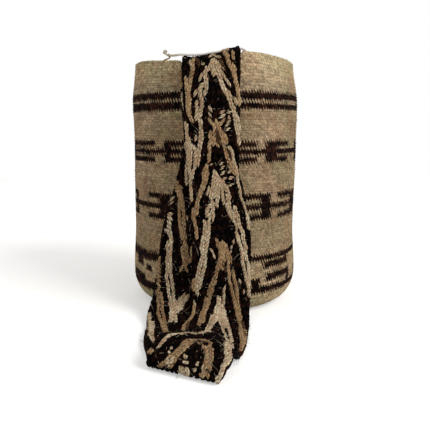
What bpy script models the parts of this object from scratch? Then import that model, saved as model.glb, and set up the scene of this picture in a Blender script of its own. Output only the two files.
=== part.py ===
"""Hand-looped wool shoulder bag with a wide braided strap, standing with the strap thrown over its front.

Metres, +Z up. The bag stands on z = 0 round the Z axis and its front faces -Y.
"""

import math

import bmesh
import bpy
import mathutils
import numpy as np

# Bag, an open tube of looped wool on a flat round base
BAG_HEIGHT = 0.2772
WALL = 0.0045
BASE_THICKNESS = 0.005
BASE_CORNER_REACH = 0.037
BASE_CORNER_HEIGHT = 0.038
BASE_CORNER_POWER = 2.3
FOOT_RADIUS = 0.0985
BELLY_RADIUS = 0.0958
SHOULDER_RADIUS = 0.0968
MOUTH_RADIUS = 0.0918
FOOT_TOP = 0.095
BELLY_TOP = 0.190
SHOULDER_HEIGHT = 0.232
COLUMNS = 70
COURSE = 0.0028

# Rim, pressed down where the strap crosses it
RIM_TILT = 0.0042
RIM_TILT_ANGLE = math.radians(25)
RIM_PRESS = 0.0085
RIM_PRESS_ANGLE = math.radians(21)
RIM_WAVE_DEPTH = 0.042

# Colour fields in courses of stitches counted from the floor: first course, number of courses
PLAIN_LINES = ((80, 2), (83, 3))
COMB_ARMS = ((60, 2), (63, 2), (66, 2))
RAKE_ARMS = ((38, 2), (42, 2), (46, 2))
KEY_LINES = ((9, 2), (22, 2))
KEY_HOOK = (14, 2)
KEY_BAR = (19, 2)
COMB_REPEAT = 7
KEY_REPEAT = 10
FIRST_COLUMN_ANGLE = math.radians(4.34)

# Rings of the wall between the fields and on the inside, as shares of the bag's height
PLAIN_RINGS = (0.296, 0.541, 0.740, 0.909, 0.952)
INNER_RINGS = (0.931, 0.837, 0.685, 0.541, 0.397, 0.271, 0.173)

# Strap, one flat braid
STRAP_WIDTH = 0.062
STRAP_THICKNESS = 0.0060
STRAP_EDGE_THICKNESS = 0.0034
STRAP_RELIEF = 0.0004
STRAP_SPREAD = 0.0012
STRAP_STEP = 0.008
STRAP_ACROSS = 15
STRAP_END_DROP = 0.0032
SEAM_CLIMB = (0.062, 0.032)
STRAIGHTENS = (0.047, 0.015)
LEVELS = (0.097, 0.015)
MOUTH_SAG = 0.006
RIM_BEND = 0.0085
FLOOR_BEND = 0.0155
FOLD_REACH = 0.111
FOLD_SLANT = 0.50
FOLD_BEND = 0.0048
COVER_FALL = 0.016
FOLD_CARRY = 0.022
BUCKLE_RISE = 0.0075
BUCKLE_FOOT = 0.165
BUCKLE_CREST = 0.194
CHEVRON_RISE = 4.2
COLOUR_CYCLE = 0.118
COLOUR_START = 0.078
CREAM_SHARE = 0.20
TAN_SHARE = (0.58, 0.80)

# Clearances
TOUCH = 0.0003
LAY = 0.0009
LAYER_LAY = 0.0016

# Yarns and the closing cord
SEAM_YARN = 0.0014
SEAM_STITCHES = 9
SEAM_BITE = 0.008
FRONT_SEAM_INSET = 0.010
REAR_SEAM_INSET = 0.005
CORD = 0.0024
KNOT = 0.0052
KNOT_LUMPS = 0.10

# The closing cord leaves its root knot inside the mouth, climbs over the strap's edge, lies across the strap
# behind the front rim and ends in a knot that sticks out to the left.
CORD_ROUTE = (
    (0.0636, -0.0534, 0.2620),
    (0.0600, -0.0508, 0.2612),
    (0.0555, -0.0500, 0.2618),
    (0.0505, -0.0510, 0.2650),
    (0.0455, -0.0535, 0.2705),
    (0.0405, -0.0568, 0.2765),
    (0.0355, -0.0605, 0.2816),
    (0.0305, -0.0645, 0.2834),
    (0.0250, -0.0690, 0.2828),
    (0.0190, -0.0740, 0.2816),
    (0.0130, -0.0790, 0.2808),
    (0.0080, -0.0850, 0.2805),
    (0.0035, -0.0905, 0.2799),
    (-0.0010, -0.0945, 0.2792),
    (-0.0065, -0.0965, 0.2783),
    (-0.0130, -0.0972, 0.2775),
    (-0.0200, -0.0975, 0.2766),
    (-0.0270, -0.0978, 0.2763),
    (-0.0340, -0.0985, 0.2760),
    (-0.0390, -0.0992, 0.2752),
    (-0.0425, -0.0997, 0.2750),
    (-0.0446, -0.0999, 0.2754),
    (-0.0460, -0.1001, 0.2763),
)


def smooth(a, b, value):
    t = np.clip((value - a) / (b - a), 0.0, 1.0)
    return t * t * (3 - 2 * t)


def rim_drop(angle):
    """How far the rim stands above its even height at an angle from the front, towards +X."""
    t = angle / RIM_TILT_ANGLE
    tilt = RIM_TILT * t * np.exp(0.5 - 0.5 * t * t)
    return tilt - RIM_PRESS * np.exp(-((angle / RIM_PRESS_ANGLE) ** 8))


def wall_radius(z):
    """Outer radius of the bag at height z: a foot that bulges, a straight belly, a shoulder and a drawn-in mouth."""
    z = np.asarray(z, float)
    r = FOOT_RADIUS + (BELLY_RADIUS - FOOT_RADIUS) * smooth(BASE_CORNER_HEIGHT, FOOT_TOP, z)
    r = r + (SHOULDER_RADIUS - BELLY_RADIUS) * smooth(BELLY_TOP, SHOULDER_HEIGHT, z)
    r = r + (MOUTH_RADIUS - SHOULDER_RADIUS) * smooth(SHOULDER_HEIGHT, BAG_HEIGHT, z)
    inward = np.clip((BASE_CORNER_HEIGHT - z) / BASE_CORNER_HEIGHT, 0.0, 1.0)
    round_off = (1 - inward**BASE_CORNER_POWER) ** (1 / BASE_CORNER_POWER)
    return r - BASE_CORNER_REACH * (1 - round_off)


def sway(angle, z):
    """Soft unevenness of the wall, which fades out where the strap hangs and where its rear end is sewn."""
    side = smooth(math.radians(35), math.radians(75), np.abs(angle))
    side = side * (1 - smooth(math.radians(135), math.radians(155), np.abs(angle)))
    waves = 0.0009 * np.sin(3 * angle + 0.7 + 14 * z) + 0.0006 * np.sin(5 * angle - 31 * z)
    return side * waves * smooth(0.01, 0.05, z)


def wool(name, red, green, blue, roughness=0.95):
    material = bpy.data.materials.new(name)
    material.use_nodes = True
    shader = material.node_tree.nodes["Principled BSDF"]
    shader.inputs["Base Color"].default_value = (red, green, blue, 1.0)
    shader.inputs["Roughness"].default_value = roughness
    shader.inputs["Metallic"].default_value = 0.0
    material.diffuse_color = (red, green, blue, 1.0)
    return material


def add_object(name, bm, materials):
    bm.normal_update()
    mesh = bpy.data.meshes.new(name)
    bm.to_mesh(mesh)
    bm.free()
    piece = bpy.data.objects.new(name, mesh)
    bpy.context.collection.objects.link(piece)
    for material in materials:
        mesh.materials.append(material)
    return piece


def loft(bm, loops, slot=None):
    """Quads between successive closed loops of vertices, in the slot that slot(row, column) names."""
    for row, (low, high) in enumerate(zip(loops, loops[1:])):
        count = len(low)
        for k in range(count):
            after = (k + 1) % count
            face = bm.faces.new((low[k], low[after], high[after], high[k]))
            face.material_index = slot(row, k) if slot else 0


def in_courses(course, bands):
    return any(first <= course < first + count for first, count in bands)


def is_dark(column, z):
    """Whether the stitches of a column are dark at height z."""
    course = int(z / COURSE)
    if in_courses(course, PLAIN_LINES) or in_courses(course, KEY_LINES):
        return True
    step = (column - 6) % COMB_REPEAT
    low, high = COMB_ARMS[0][0], sum(COMB_ARMS[-1])
    if low <= course < high:
        middle = in_courses(course, COMB_ARMS[1:2])
        return step < 2 or middle or (step < 6 and in_courses(course, COMB_ARMS))
    low, high = RAKE_ARMS[0][0], sum(RAKE_ARMS[-1])
    if low <= course < high:
        step = (column - 7) % COMB_REPEAT
        middle = in_courses(course, RAKE_ARMS[1:2])
        return step in (5, 6) or middle or (step > 0 and in_courses(course, RAKE_ARMS))
    step = (column - 4) % KEY_REPEAT
    if step == 0:
        return sum(KEY_LINES[0]) <= course < sum(KEY_HOOK)
    if step == 6:
        return sum(KEY_LINES[0]) <= course < sum(KEY_HOOK)
    if 2 <= step < 6 and in_courses(course, (KEY_HOOK, KEY_BAR)):
        return True
    return step == 5 and sum(KEY_BAR) <= course < KEY_LINES[1][0]


def field_heights():
    edges = set()
    for first, count in PLAIN_LINES + COMB_ARMS + RAKE_ARMS + KEY_LINES + (KEY_HOOK, KEY_BAR):
        edges |= {first * COURSE, (first + count) * COURSE}
    return edges


def bag_rings():
    """(radius, height, lift) of each ring from the outside of the base, over the rim, to the inside of the base."""
    foot = FOOT_RADIUS - BASE_CORNER_REACH
    rings = [(foot * 0.5, 0.0), (foot, 0.0)]
    turn = [math.radians(a) for a in (18, 36, 54)]
    for a in turn:
        z = BASE_CORNER_HEIGHT * (1 - math.cos(a))
        rings.append((float(wall_radius(z)), z))
    plain = {BAG_HEIGHT * share for share in PLAIN_RINGS}
    heights = sorted(field_heights() | plain | {BAG_HEIGHT - WALL / 2})
    heights = [z for z in heights if z <= BAG_HEIGHT - WALL / 2]
    rings += [(float(wall_radius(z)), z) for z in heights if z > rings[-1][1] + 0.003]
    mouth = rings[-1][0]
    for a in (40, 90, 140):
        a = math.radians(a)
        rings.append((mouth - WALL / 2 + WALL / 2 * math.cos(a), BAG_HEIGHT - WALL / 2 + WALL / 2 * math.sin(a)))
    inner = [BAG_HEIGHT - WALL / 2] + [BAG_HEIGHT * share for share in INNER_RINGS]
    rings += [(float(wall_radius(z)) - WALL, z) for z in inner]
    for a in (60, 38, 18):
        a = math.radians(a)
        z = BASE_CORNER_HEIGHT - (BASE_CORNER_HEIGHT - BASE_THICKNESS) * math.cos(a)
        inward = (BASE_CORNER_HEIGHT - z) / (BASE_CORNER_HEIGHT - BASE_THICKNESS)
        round_off = (1 - inward**BASE_CORNER_POWER) ** (1 / BASE_CORNER_POWER)
        rings.append((foot - WALL + BASE_CORNER_REACH * round_off, z))
    rings += [(foot - WALL, BASE_THICKNESS), (foot * 0.5, BASE_THICKNESS)]
    return rings


def lift_share(z):
    """Share of the rim's rise and fall that reaches height z."""
    return float(smooth(BAG_HEIGHT - RIM_WAVE_DEPTH, BAG_HEIGHT - WALL, z))


def make_bag():
    bm = bmesh.new()
    angles = [FIRST_COLUMN_ANGLE + 2 * math.pi * k / COLUMNS for k in range(COLUMNS)]
    loops = []
    rings = bag_rings()
    for radius, height in rings:
        loop = []
        for angle in angles:
            turn = (angle + math.pi) % (2 * math.pi) - math.pi
            r = radius + float(sway(turn, height))
            z = height + lift_share(height) * float(rim_drop(turn))
            loop.append(bm.verts.new((r * math.sin(turn), -r * math.cos(turn), z)))
        loops.append(loop)
    top = max(range(len(rings)), key=lambda k: rings[k][1])

    def slot(row, column):
        low, high = rings[row][1], rings[row + 1][1]
        return int(row < top and is_dark(column, (low + high) / 2))

    loft(bm, loops, slot)
    for loop, height, outward in ((loops[0], 0.0, -1), (loops[-1], BASE_THICKNESS, 1)):
        middle = bm.verts.new((0.0, 0.0, height))
        for k in range(COLUMNS):
            pair = (loop[k], loop[(k + 1) % COLUMNS])
            bm.faces.new((middle,) + (pair[::-1] if outward < 0 else pair))
    return add_object("bag_body", bm, (natural_wool, dark_wool))


# The strap's route is worked out on a sheet that runs down the wall, round the floor bend and out on the floor.
# q is the way along that sheet: the height on the wall, and less than that beyond it.
LOWER_ROUTE = (
    (0.270, -0.0062),
    (0.207, -0.0005),
    (0.190, 0.0000),
    (0.165, -0.0040),
    (0.128, -0.0135),
    (0.110, -0.0200),
    (0.088, -0.0255),
    (0.045, -0.0320),
    (0.010, -0.0370),
    (-0.027, -0.0372),
    (-0.063, -0.0345),
    (-0.087, -0.0308),
    (-0.111, -0.0265),
)
UPPER_ROUTE = (
    (0.290, -0.0013),
    (0.230, 0.0000),
    (0.180, 0.0035),
    (0.130, 0.0062),
    (0.090, 0.0080),
    (0.045, 0.0075),
    (0.015, 0.0080),
    (-0.015, 0.0058),
    (-0.040, 0.0002),
    (-0.055, -0.0045),
    (-0.070, -0.0106),
    (-0.085, -0.0164),
    (-0.098, -0.0216),
    (-0.111, -0.0265),
)


def along(route, q):
    """Smooth value of a route at q, with the slope carried through each of its points."""
    points = sorted(route)
    qs = [p[0] for p in points]
    xs = [p[1] for p in points]
    q = min(max(q, qs[0]), qs[-1])
    k = max(i for i in range(len(qs) - 1) if qs[i] <= q) if q > qs[0] else 0
    slopes = []
    for i in range(len(qs)):
        a, b = max(i - 1, 0), min(i + 1, len(qs) - 1)
        slopes.append((xs[b] - xs[a]) / (qs[b] - qs[a]))
    span = qs[k + 1] - qs[k]
    t = (q - qs[k]) / span
    h = (2 * t**3 - 3 * t**2 + 1, t**3 - 2 * t**2 + t, 3 * t**2 - 2 * t**3, t**3 - t**2)
    return h[0] * xs[k] + h[1] * span * slopes[k] + h[2] * xs[k + 1] + h[3] * span * slopes[k + 1]


def half_width(q):
    """The braid spreads a little where it lies on the floor."""
    return STRAP_WIDTH / 2 + STRAP_SPREAD * float(smooth(0.0, -0.06, q) * smooth(-FOLD_REACH, -FOLD_REACH + 0.05, q))


def near_rim(depths, q):
    """0 below the first depth under the rim, rising to 1 at the second."""
    return float(smooth(BAG_HEIGHT - depths[0], BAG_HEIGHT - depths[1], q))


LOWER_LIFT = TOUCH + LAY + STRAP_THICKNESS / 2
LAYER_PITCH = STRAP_THICKNESS + LAYER_LAY
HANG_RADIUS = BELLY_RADIUS + 0.0027


def cover(x, q):
    """1 where the lower leg lies under the upper one, falling to 0 beyond the lower leg's right-hand edge."""
    edge = along(LOWER_ROUTE, q) + half_width(q) + 0.001
    fall = COVER_FALL + FOLD_CARRY * float(smooth(-0.05, -0.09, q))
    return 1 - float(smooth(edge, edge + fall, x))


def on_sheet(x, q, upper):
    """Point of the strap's middle layer at x across and q along, on the lower or the upper leg."""
    lift = LOWER_LIFT
    if upper:
        lift += LAYER_PITCH * cover(x, q) + (SEAM_YARN + 3 * TOUCH) * near_rim(SEAM_CLIMB, q)
    under = FLOOR_BEND + LAYER_PITCH
    bend = under - lift + LOWER_LIFT
    floor = lift - LAY + TOUCH
    turn_start = floor + bend
    unlifted = q - lift_share(q) * float(rim_drop(math.asin(x / HANG_RADIUS)))
    rho = float(wall_radius(max(unlifted, BASE_CORNER_HEIGHT + 0.012))) + lift
    curve = float(smooth(-0.02, 0.05, q))
    flat_y = rho
    round_y = math.sqrt(rho * rho - x * x)
    if q >= turn_start:
        y, z = 0.0, q
    else:
        a = min((turn_start - q) / under, math.pi / 2)
        y = bend * (1 - math.cos(a))
        z = floor + bend * (1 - math.sin(a))
        y += max(turn_start - q - under * math.pi / 2, 0.0)
    y += curve * round_y + (1 - curve) * flat_y
    slant = float(smooth(-0.02, -FOLD_REACH, q)) * FOLD_SLANT * (x - along(LOWER_ROUTE, -FOLD_REACH))
    return np.array((x, -(y + slant), z))


def fold_gap(q):
    """The upper layer rises towards the fold, so that the fold is round."""
    return (2 * FOLD_BEND - LAYER_PITCH) * float(smooth(-FOLD_REACH + 0.035, -FOLD_REACH, q))


def buckle(q, y):
    """The upper layer arches up off the lower one on the floor: a steep back, a crest, and a long front."""
    back = float(smooth(BUCKLE_FOOT, BUCKLE_CREST, -y))
    return BUCKLE_RISE * back * (1 - float(smooth(-FOLD_REACH + 0.024, -FOLD_REACH, q)))


def leg_station(q, upper, across):
    route = UPPER_ROUTE if upper else LOWER_ROUTE
    tilt = math.atan((along(route, q + 0.003) - along(route, q - 0.003)) / 0.006)
    tilt *= float(smooth(-FOLD_REACH, -FOLD_REACH + 0.08, q)) * (1 - near_rim(STRAIGHTENS, q))
    middle, half = along(route, q), half_width(q)
    points = []
    for w in across:
        x = middle + w * half * math.cos(tilt)
        reach = q - w * half * math.sin(tilt)
        reach += near_rim(LEVELS, q) * rim_share(x)
        point = on_sheet(x, reach, upper)
        if upper:
            point[2] += fold_gap(q) + buckle(q, point[1]) * cover(x, q)
        points.append(point)
    return points


def rim_share(x):
    """Rise of the rim under a point of the strap, measured from the middle of the strap's crossing."""
    return float(rim_drop(math.asin(x / MOUTH_RADIUS)) - rim_drop(0.0))


def fold_station(angle, across):
    """The turn at the front: 90 degrees is its top and -90 its underside."""
    flat = leg_station(-FOLD_REACH, False, across)
    out, up = FOLD_BEND * math.cos(angle), FOLD_BEND * (1 + math.sin(angle))
    return [p + np.array((0.0, -out, up)) for p in flat]


def crossing_height():
    """Height of the strap's middle layer where it crosses the front rim."""
    return BAG_HEIGHT + float(rim_drop(0.0)) + TOUCH + SEAM_YARN + STRAP_THICKNESS / 2 + LAY


def rim_station(angle, across):
    """The bend over the front rim: 90 degrees lies flat on the rim and 0 hangs down the wall."""
    points = []
    top = crossing_height()
    base = leg_station(top - RIM_BEND, True, across)
    for p in base:
        shift = np.array((0.0, RIM_BEND * (1 - math.cos(angle)), RIM_BEND * math.sin(angle)))
        points.append(p + shift)
    return points


def mouth_station(share, across):
    """From the back rim, at 0, across the open mouth to the start of the bend over the front rim, at 1."""
    front = rim_station(math.pi / 2, across)
    back_y = float(wall_radius(BAG_HEIGHT - WALL))
    back_z = BAG_HEIGHT + float(rim_drop(math.pi)) + TOUCH + LAY + STRAP_THICKNESS / 2
    points = []
    for w, p in zip(across, front):
        x = w * STRAP_WIDTH / 2
        back = np.array((x, math.sqrt(back_y**2 - x * x), back_z))
        point = back + (p - back) * share
        point[2] -= MOUTH_SAG * math.sin(math.pi * share) ** 1.5
        points.append(point)
    return points


def strap_stations():
    """Every cross-section of the strap's middle layer, from the back rim to its sewn end at the front."""
    across = [math.sin(math.pi / 2 * (2 * k / (STRAP_ACROSS - 1) - 1) * 0.92) / math.sin(math.pi / 2 * 0.92)
              for k in range(STRAP_ACROSS)]
    stations = []
    mouth = int((MOUTH_RADIUS * 2) / STRAP_STEP)
    stations += [mouth_station(k / mouth, across) for k in range(mouth)]
    stations += [rim_station(math.radians(a), across) for a in (90, 64, 38, 12)]
    top = crossing_height() - RIM_BEND - 0.002
    down = int((top + FOLD_REACH) / STRAP_STEP)
    stations += [leg_station(top - (top + FOLD_REACH) * k / down, True, across) for k in range(down)]
    stations += [fold_station(math.radians(a), across) for a in (90, 45, 0, -45)]
    end = BAG_HEIGHT + float(rim_drop(0.0)) - STRAP_END_DROP
    up = int((end + FOLD_REACH) / STRAP_STEP)
    stations += [leg_station(-FOLD_REACH + (end + FOLD_REACH) * k / up, False, across) for k in range(up + 1)]
    return across, np.array(stations)


def braid_phase(way, w, half=STRAP_WIDTH / 2):
    """Way along the strap of the chevron tip that a point belongs to: tips point to the back rim."""
    return way - abs(w) * half * CHEVRON_RISE


def braid_slot(way, w):
    """0 cream, 1 dark, 2 tan."""
    t = ((braid_phase(way, w) - COLOUR_START) / COLOUR_CYCLE) % 1.0
    if t < CREAM_SHARE:
        return 0
    return 2 if TAN_SHARE[0] <= t < TAN_SHARE[1] else 1


def make_strap():
    across, grid = strap_stations()
    way = np.concatenate([[0.0], np.cumsum(np.linalg.norm(np.diff(grid[:, STRAP_ACROSS // 2], axis=0), axis=1))])
    along_strap = np.gradient(grid, axis=0)
    over_strap = np.gradient(grid, axis=1)
    normal = np.cross(over_strap, -along_strap)
    normal /= np.linalg.norm(normal, axis=2, keepdims=True)
    bm = bmesh.new()
    loops = []
    for i, station in enumerate(grid):
        outer, inner = [], []
        for j, w in enumerate(across):
            edge = (1 - abs(w) ** 5) ** 0.5
            half = (STRAP_EDGE_THICKNESS + (STRAP_THICKNESS - STRAP_EDGE_THICKNESS) * edge) / 2 * (edge > 0.001)
            ridge = STRAP_RELIEF * math.cos(2 * math.pi * 4 * braid_phase(way[i], w) / COLOUR_CYCLE)
            outer.append(bm.verts.new(station[j] + normal[i, j] * (half + ridge * edge)))
            if 0 < j < STRAP_ACROSS - 1:
                inner.append(bm.verts.new(station[j] - normal[i, j] * (half + ridge * edge)))
        loops.append(outer + inner[::-1])

    def slot(row, column):
        if column < STRAP_ACROSS - 1:
            w = (across[column] + across[column + 1]) / 2
        else:
            k = 2 * (STRAP_ACROSS - 1) - column
            w = (across[k] + across[k - 1]) / 2
        return braid_slot((way[row] + way[row + 1]) / 2, w)

    loft(bm, loops, slot)
    for loop, row in ((loops[0], 0), (loops[-1], len(loops) - 2)):
        for j in range(STRAP_ACROSS - 1):
            ring = [loop[j], loop[j + 1], loop[-j - 1], loop[-j]]
            face = bm.faces.new(dict.fromkeys(ring))
            face.material_index = slot(row, j)
    bmesh.ops.recalc_face_normals(bm, faces=bm.faces)
    return add_object("strap", bm, (cream_wool, black_wool, tan_wool)), way[-1]


def yarn(name, points, diameter, material):
    curve = bpy.data.curves.new(name, "CURVE")
    curve.dimensions = "3D"
    curve.bevel_depth = diameter / 2
    curve.bevel_resolution = 2
    curve.use_fill_caps = True
    spline = curve.splines.new("POLY")
    spline.points.add(len(points) - 1)
    for point, place in zip(spline.points, points):
        point.co = (*place, 1.0)
    curve.materials.append(material)
    piece = bpy.data.objects.new(name, curve)
    bpy.context.collection.objects.link(piece)
    return piece


def rim_height(x):
    """Height of the rim at x, between the two columns beside it."""
    angle = math.asin(x / MOUTH_RADIUS)
    pitch = 2 * math.pi / COLUMNS
    column = math.floor((angle - FIRST_COLUMN_ANGLE) / pitch)
    low = FIRST_COLUMN_ANGLE + column * pitch
    share = (angle - low) / pitch
    return BAG_HEIGHT + float(rim_drop(low)) * (1 - share) + float(rim_drop(low + pitch)) * share


def make_front_seam():
    """Whip stitches that ride over the rim and the sewn end of the strap, down inside the bag and down outside."""
    off = SEAM_YARN / 2 + TOUCH
    over = STRAP_THICKNESS / 2 + STRAP_RELIEF + off + 2 * TOUCH
    middle = along(LOWER_ROUTE, BAG_HEIGHT)
    mouth = float(wall_radius(BAG_HEIGHT - WALL / 2)) - WALL / 2
    points = []
    for k in range(SEAM_STITCHES + 1):
        x = middle + (k / SEAM_STITCHES - 0.5) * (STRAP_WIDTH - 2 * FRONT_SEAM_INSET)
        top = rim_height(x)
        run = []
        for depth in (SEAM_BITE + STRAP_END_DROP, STRAP_END_DROP + TOUCH):
            low, high = (on_sheet(x, top - depth + d, False) for d in (-TOUCH, TOUCH))
            slope = (math.hypot(*high[:2]) - math.hypot(*low[:2])) / (2 * TOUCH)
            lean = math.hypot(1.0, slope)
            run.append((math.hypot(*low[:2]) + over * lean, top - depth))
        run.append((run[-1][0] - 2 * TOUCH, top - STRAP_END_DROP + off + 2 * TOUCH))
        for turn in (50, 95, 140):
            reach = WALL / 2 + off + 2 * TOUCH
            turn = math.radians(turn)
            run.append((mouth + reach * math.cos(turn), top - WALL / 2 + reach * math.sin(turn)))
        for depth in (0.004, SEAM_BITE):
            run.append((float(wall_radius(BAG_HEIGHT - depth)) - WALL - off - 2 * TOUCH, top - depth))
        if k % 2:
            run.reverse()
        points += [(x, -math.sqrt(r * r - x * x), z) for r, z in run]
    return yarn("front_seam_yarn", points, SEAM_YARN, tan_wool)


def make_rear_seam():
    """Whip stitches from the top of the strap's rear end down over the back of the rim."""
    off = SEAM_YARN / 2 + TOUCH
    wall = float(wall_radius(BAG_HEIGHT - WALL))
    points = []
    for k in range(SEAM_STITCHES + 1):
        x = (k / SEAM_STITCHES - 0.5) * (STRAP_WIDTH - 2 * REAR_SEAM_INSET)
        rise = BAG_HEIGHT + float(rim_drop(math.pi)) + TOUCH + LAY + STRAP_THICKNESS + STRAP_RELIEF
        run = [
            (wall - SEAM_BITE, rise + off + TOUCH),
            (wall - SEAM_YARN / 2, rise + off + TOUCH),
            (wall + off + TOUCH, rise - TOUCH),
            (wall + off + TOUCH, rise - STRAP_THICKNESS),
            (float(wall_radius(BAG_HEIGHT - 1.5 * SEAM_BITE)) + off + TOUCH, BAG_HEIGHT - 1.25 * SEAM_BITE),
        ]
        if k % 2:
            run.reverse()
        points += [(x, math.sqrt(r * r - x * x), z) for r, z in run]
    return yarn("rear_seam_yarn", points, SEAM_YARN, tan_wool)


def make_knot(name, cord_end, before, material):
    """A small lumpy knot just past a cord's end, in line with the cord's last stretch."""
    end, before = np.array(cord_end), np.array(before)
    toward = (end - before) / np.linalg.norm(end - before)
    size = KNOT / 2 * (1 + KNOT_LUMPS)
    centre = end + toward * (size + TOUCH)
    bm = bmesh.new()
    bmesh.ops.create_icosphere(bm, subdivisions=2, radius=KNOT / 2)
    for vertex in bm.verts:
        x, y, z = vertex.co.normalized()
        vertex.co *= 1 + KNOT_LUMPS * math.sin(3 * math.atan2(y, x) + 2.5 * z)
        vertex.co += mathutils.Vector(centre)
    return add_object(name, bm, (material,))


def make_cord():
    yarn("drawcord", CORD_ROUTE, CORD, cream_wool)
    make_knot("cord_end_knot", CORD_ROUTE[-1], CORD_ROUTE[-2], cream_wool)
    make_knot("cord_root_knot", CORD_ROUTE[0], CORD_ROUTE[1], cream_wool)


def clear():
    for old in list(bpy.data.objects):
        bpy.data.objects.remove(old, do_unlink=True)


clear()
natural_wool = wool("natural wool", 0.46, 0.37, 0.25)
dark_wool = wool("dark brown wool", 0.035, 0.02, 0.015)
cream_wool = wool("cream wool", 0.60, 0.49, 0.33)
black_wool = wool("black wool", 0.018, 0.013, 0.012)
tan_wool = wool("tan wool", 0.33, 0.22, 0.12)
make_bag()
strap, strap_length = make_strap()
make_front_seam()
make_rear_seam()
make_cord()
print("strap length", round(strap_length, 4))
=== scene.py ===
import functools
import math

import bmesh
import bpy
import numpy as np
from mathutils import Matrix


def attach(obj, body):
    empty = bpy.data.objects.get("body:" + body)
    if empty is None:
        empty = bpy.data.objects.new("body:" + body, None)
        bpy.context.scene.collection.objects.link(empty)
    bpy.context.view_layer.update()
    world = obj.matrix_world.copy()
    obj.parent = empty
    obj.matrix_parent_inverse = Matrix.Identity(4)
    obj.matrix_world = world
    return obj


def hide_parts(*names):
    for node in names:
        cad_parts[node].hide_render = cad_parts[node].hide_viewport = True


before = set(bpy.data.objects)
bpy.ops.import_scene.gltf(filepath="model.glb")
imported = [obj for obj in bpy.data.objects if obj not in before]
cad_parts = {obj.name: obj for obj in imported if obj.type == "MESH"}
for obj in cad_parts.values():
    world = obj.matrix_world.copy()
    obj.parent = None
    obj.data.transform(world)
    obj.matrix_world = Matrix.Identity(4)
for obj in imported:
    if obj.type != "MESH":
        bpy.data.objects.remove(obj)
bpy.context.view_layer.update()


def linear(hexText):  # sRGB hex to the linear colour that nodes and lamps take
    channels = [int(hexText[i:i + 2], 16) / 255 for i in (1, 3, 5)]
    return tuple(c / 12.92 if c <= 0.04045 else ((c + 0.055) / 1.055) ** 2.4 for c in channels) + (1.0,)


def addNode(tree, kind, inputs=(), operation=None, **settings):  # inputs lists or maps constants, nodes, sockets
    family = next(f for f in ("ShaderNode", "GeometryNode", "FunctionNode", "") if hasattr(bpy.types, f + kind))
    node = tree.nodes.new(family + kind)
    if operation:
        node.operation = operation
    for name, value in settings.items():
        setattr(node, name, value)
    for name, value in inputs.items() if isinstance(inputs, dict) else enumerate(inputs):
        if isinstance(value, bpy.types.Node):
            value = value.outputs[0]
        if isinstance(value, bpy.types.NodeSocket):
            tree.links.new(value, node.inputs[name])
        else:
            node.inputs[name].default_value = value
    return node


def newMaterial(name):
    material = bpy.data.materials.new(name)
    material.use_nodes = True
    material.node_tree.nodes.clear()
    return material, functools.partial(addNode, material.node_tree)


def perMetre(millimetres):  # a noise's scale from the real size of its grain
    return 1000 / millimetres


def smooth(a, b, value):  # 0 below a, 1 above b, an even curve between them
    t = np.clip((np.asarray(value, float) - a) / (b - a), 0.0, 1.0)
    return t * t * (3 - 2 * t)


# camera and light

camera = dict(place=(0.00085, -0.638, 0.202), tiltDegrees=80.77, lens=43.79, near=0.01, far=20.0)
studio = dict(floorSize=3.0, floorColour="#F2F1EE", floorRoughness=0.9, floorLift=0.36,
              worldColour="#FFFFFF", worldStrength=0.5)
lamps = {  # place, power in watts, side length, what it looks at
    "key": ((1.1, -0.79, 1.15), 14.6, 0.8, (0.0, 0.0, 0.13)),
    "fill": ((-1.1, -1.0, 0.7), 1.0, 1.2, (0.0, 0.0, 0.12)),
    "back": ((0.1, 1.1, 1.2), 5.0, 1.0, (0.0, 0.0, 0.15)),
}


def makeCamera():
    data = bpy.data.cameras.new("camera")
    data.lens, data.clip_start, data.clip_end = camera["lens"], camera["near"], camera["far"]
    eye = bpy.data.objects.new("camera", data)
    eye.location = camera["place"]
    eye.rotation_euler = (math.radians(camera["tiltDegrees"]), 0.0, 0.0)
    bpy.context.scene.collection.objects.link(eye)
    bpy.context.scene.camera = eye


def makeStudio():
    scene = bpy.context.scene
    scene.view_settings.view_transform = "Standard"
    world = bpy.data.worlds.new("plain studio")
    scene.world = world
    world.use_nodes = True
    world.node_tree.nodes.clear()
    node = functools.partial(addNode, world.node_tree)
    seen = node("LightPath")
    shown = node("Math", [seen.outputs["Is Camera Ray"], seen.outputs["Is Glossy Ray"]], "MAXIMUM")
    shown = node("Math", [shown, seen.outputs["Is Transmission Ray"]], "MAXIMUM")
    colour = linear(studio["worldColour"])
    soft = node("Background", {"Color": colour, "Strength": studio["worldStrength"]})
    white = node("Background", {"Color": colour, "Strength": 1.0})
    mixed = node("MixShader", [shown, soft, white])
    node("OutputWorld", {"Surface": mixed})
    for name, (place, power, side, aim) in lamps.items():
        data = bpy.data.lights.new(name, "AREA")
        data.energy, data.size = power, side
        lamp = bpy.data.objects.new(name, data)
        lamp.location = place
        away = np.array(place) - np.array(aim)
        flat = math.hypot(away[0], away[1])
        lamp.rotation_euler = (math.atan2(flat, away[2]), 0.0, math.atan2(away[1], away[0]) + math.pi / 2)
        scene.collection.objects.link(lamp)


def paleFloor():  # matt painted board, no gloss; what the camera sees of it is lifted to white, so its shadow stays
    material, node = newMaterial("matt white painted board")
    seen = node("LightPath")
    board = node("BsdfDiffuse", {"Color": linear(studio["floorColour"]), "Roughness": studio["floorRoughness"]})
    glow = node("Emission", {"Color": (1, 1, 1, 1), "Strength": studio["floorLift"]})
    both = node("AddShader", [board, glow])
    mixed = node("MixShader", [seen.outputs["Is Camera Ray"], board, both])
    node("OutputMaterial", {"Surface": mixed})
    half = studio["floorSize"] / 2
    mesh = bpy.data.meshes.new("floor")
    mesh.from_pydata([(-half, -half, 0), (half, -half, 0), (half, half, 0), (-half, half, 0)], [], [(0, 1, 2, 3)])
    mesh.materials.append(material)
    floor = bpy.data.objects.new("floor", mesh)
    bpy.context.scene.collection.objects.link(floor)


makeCamera()
makeStudio()
paleFloor()
print("camera, lamps and floor")


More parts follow.
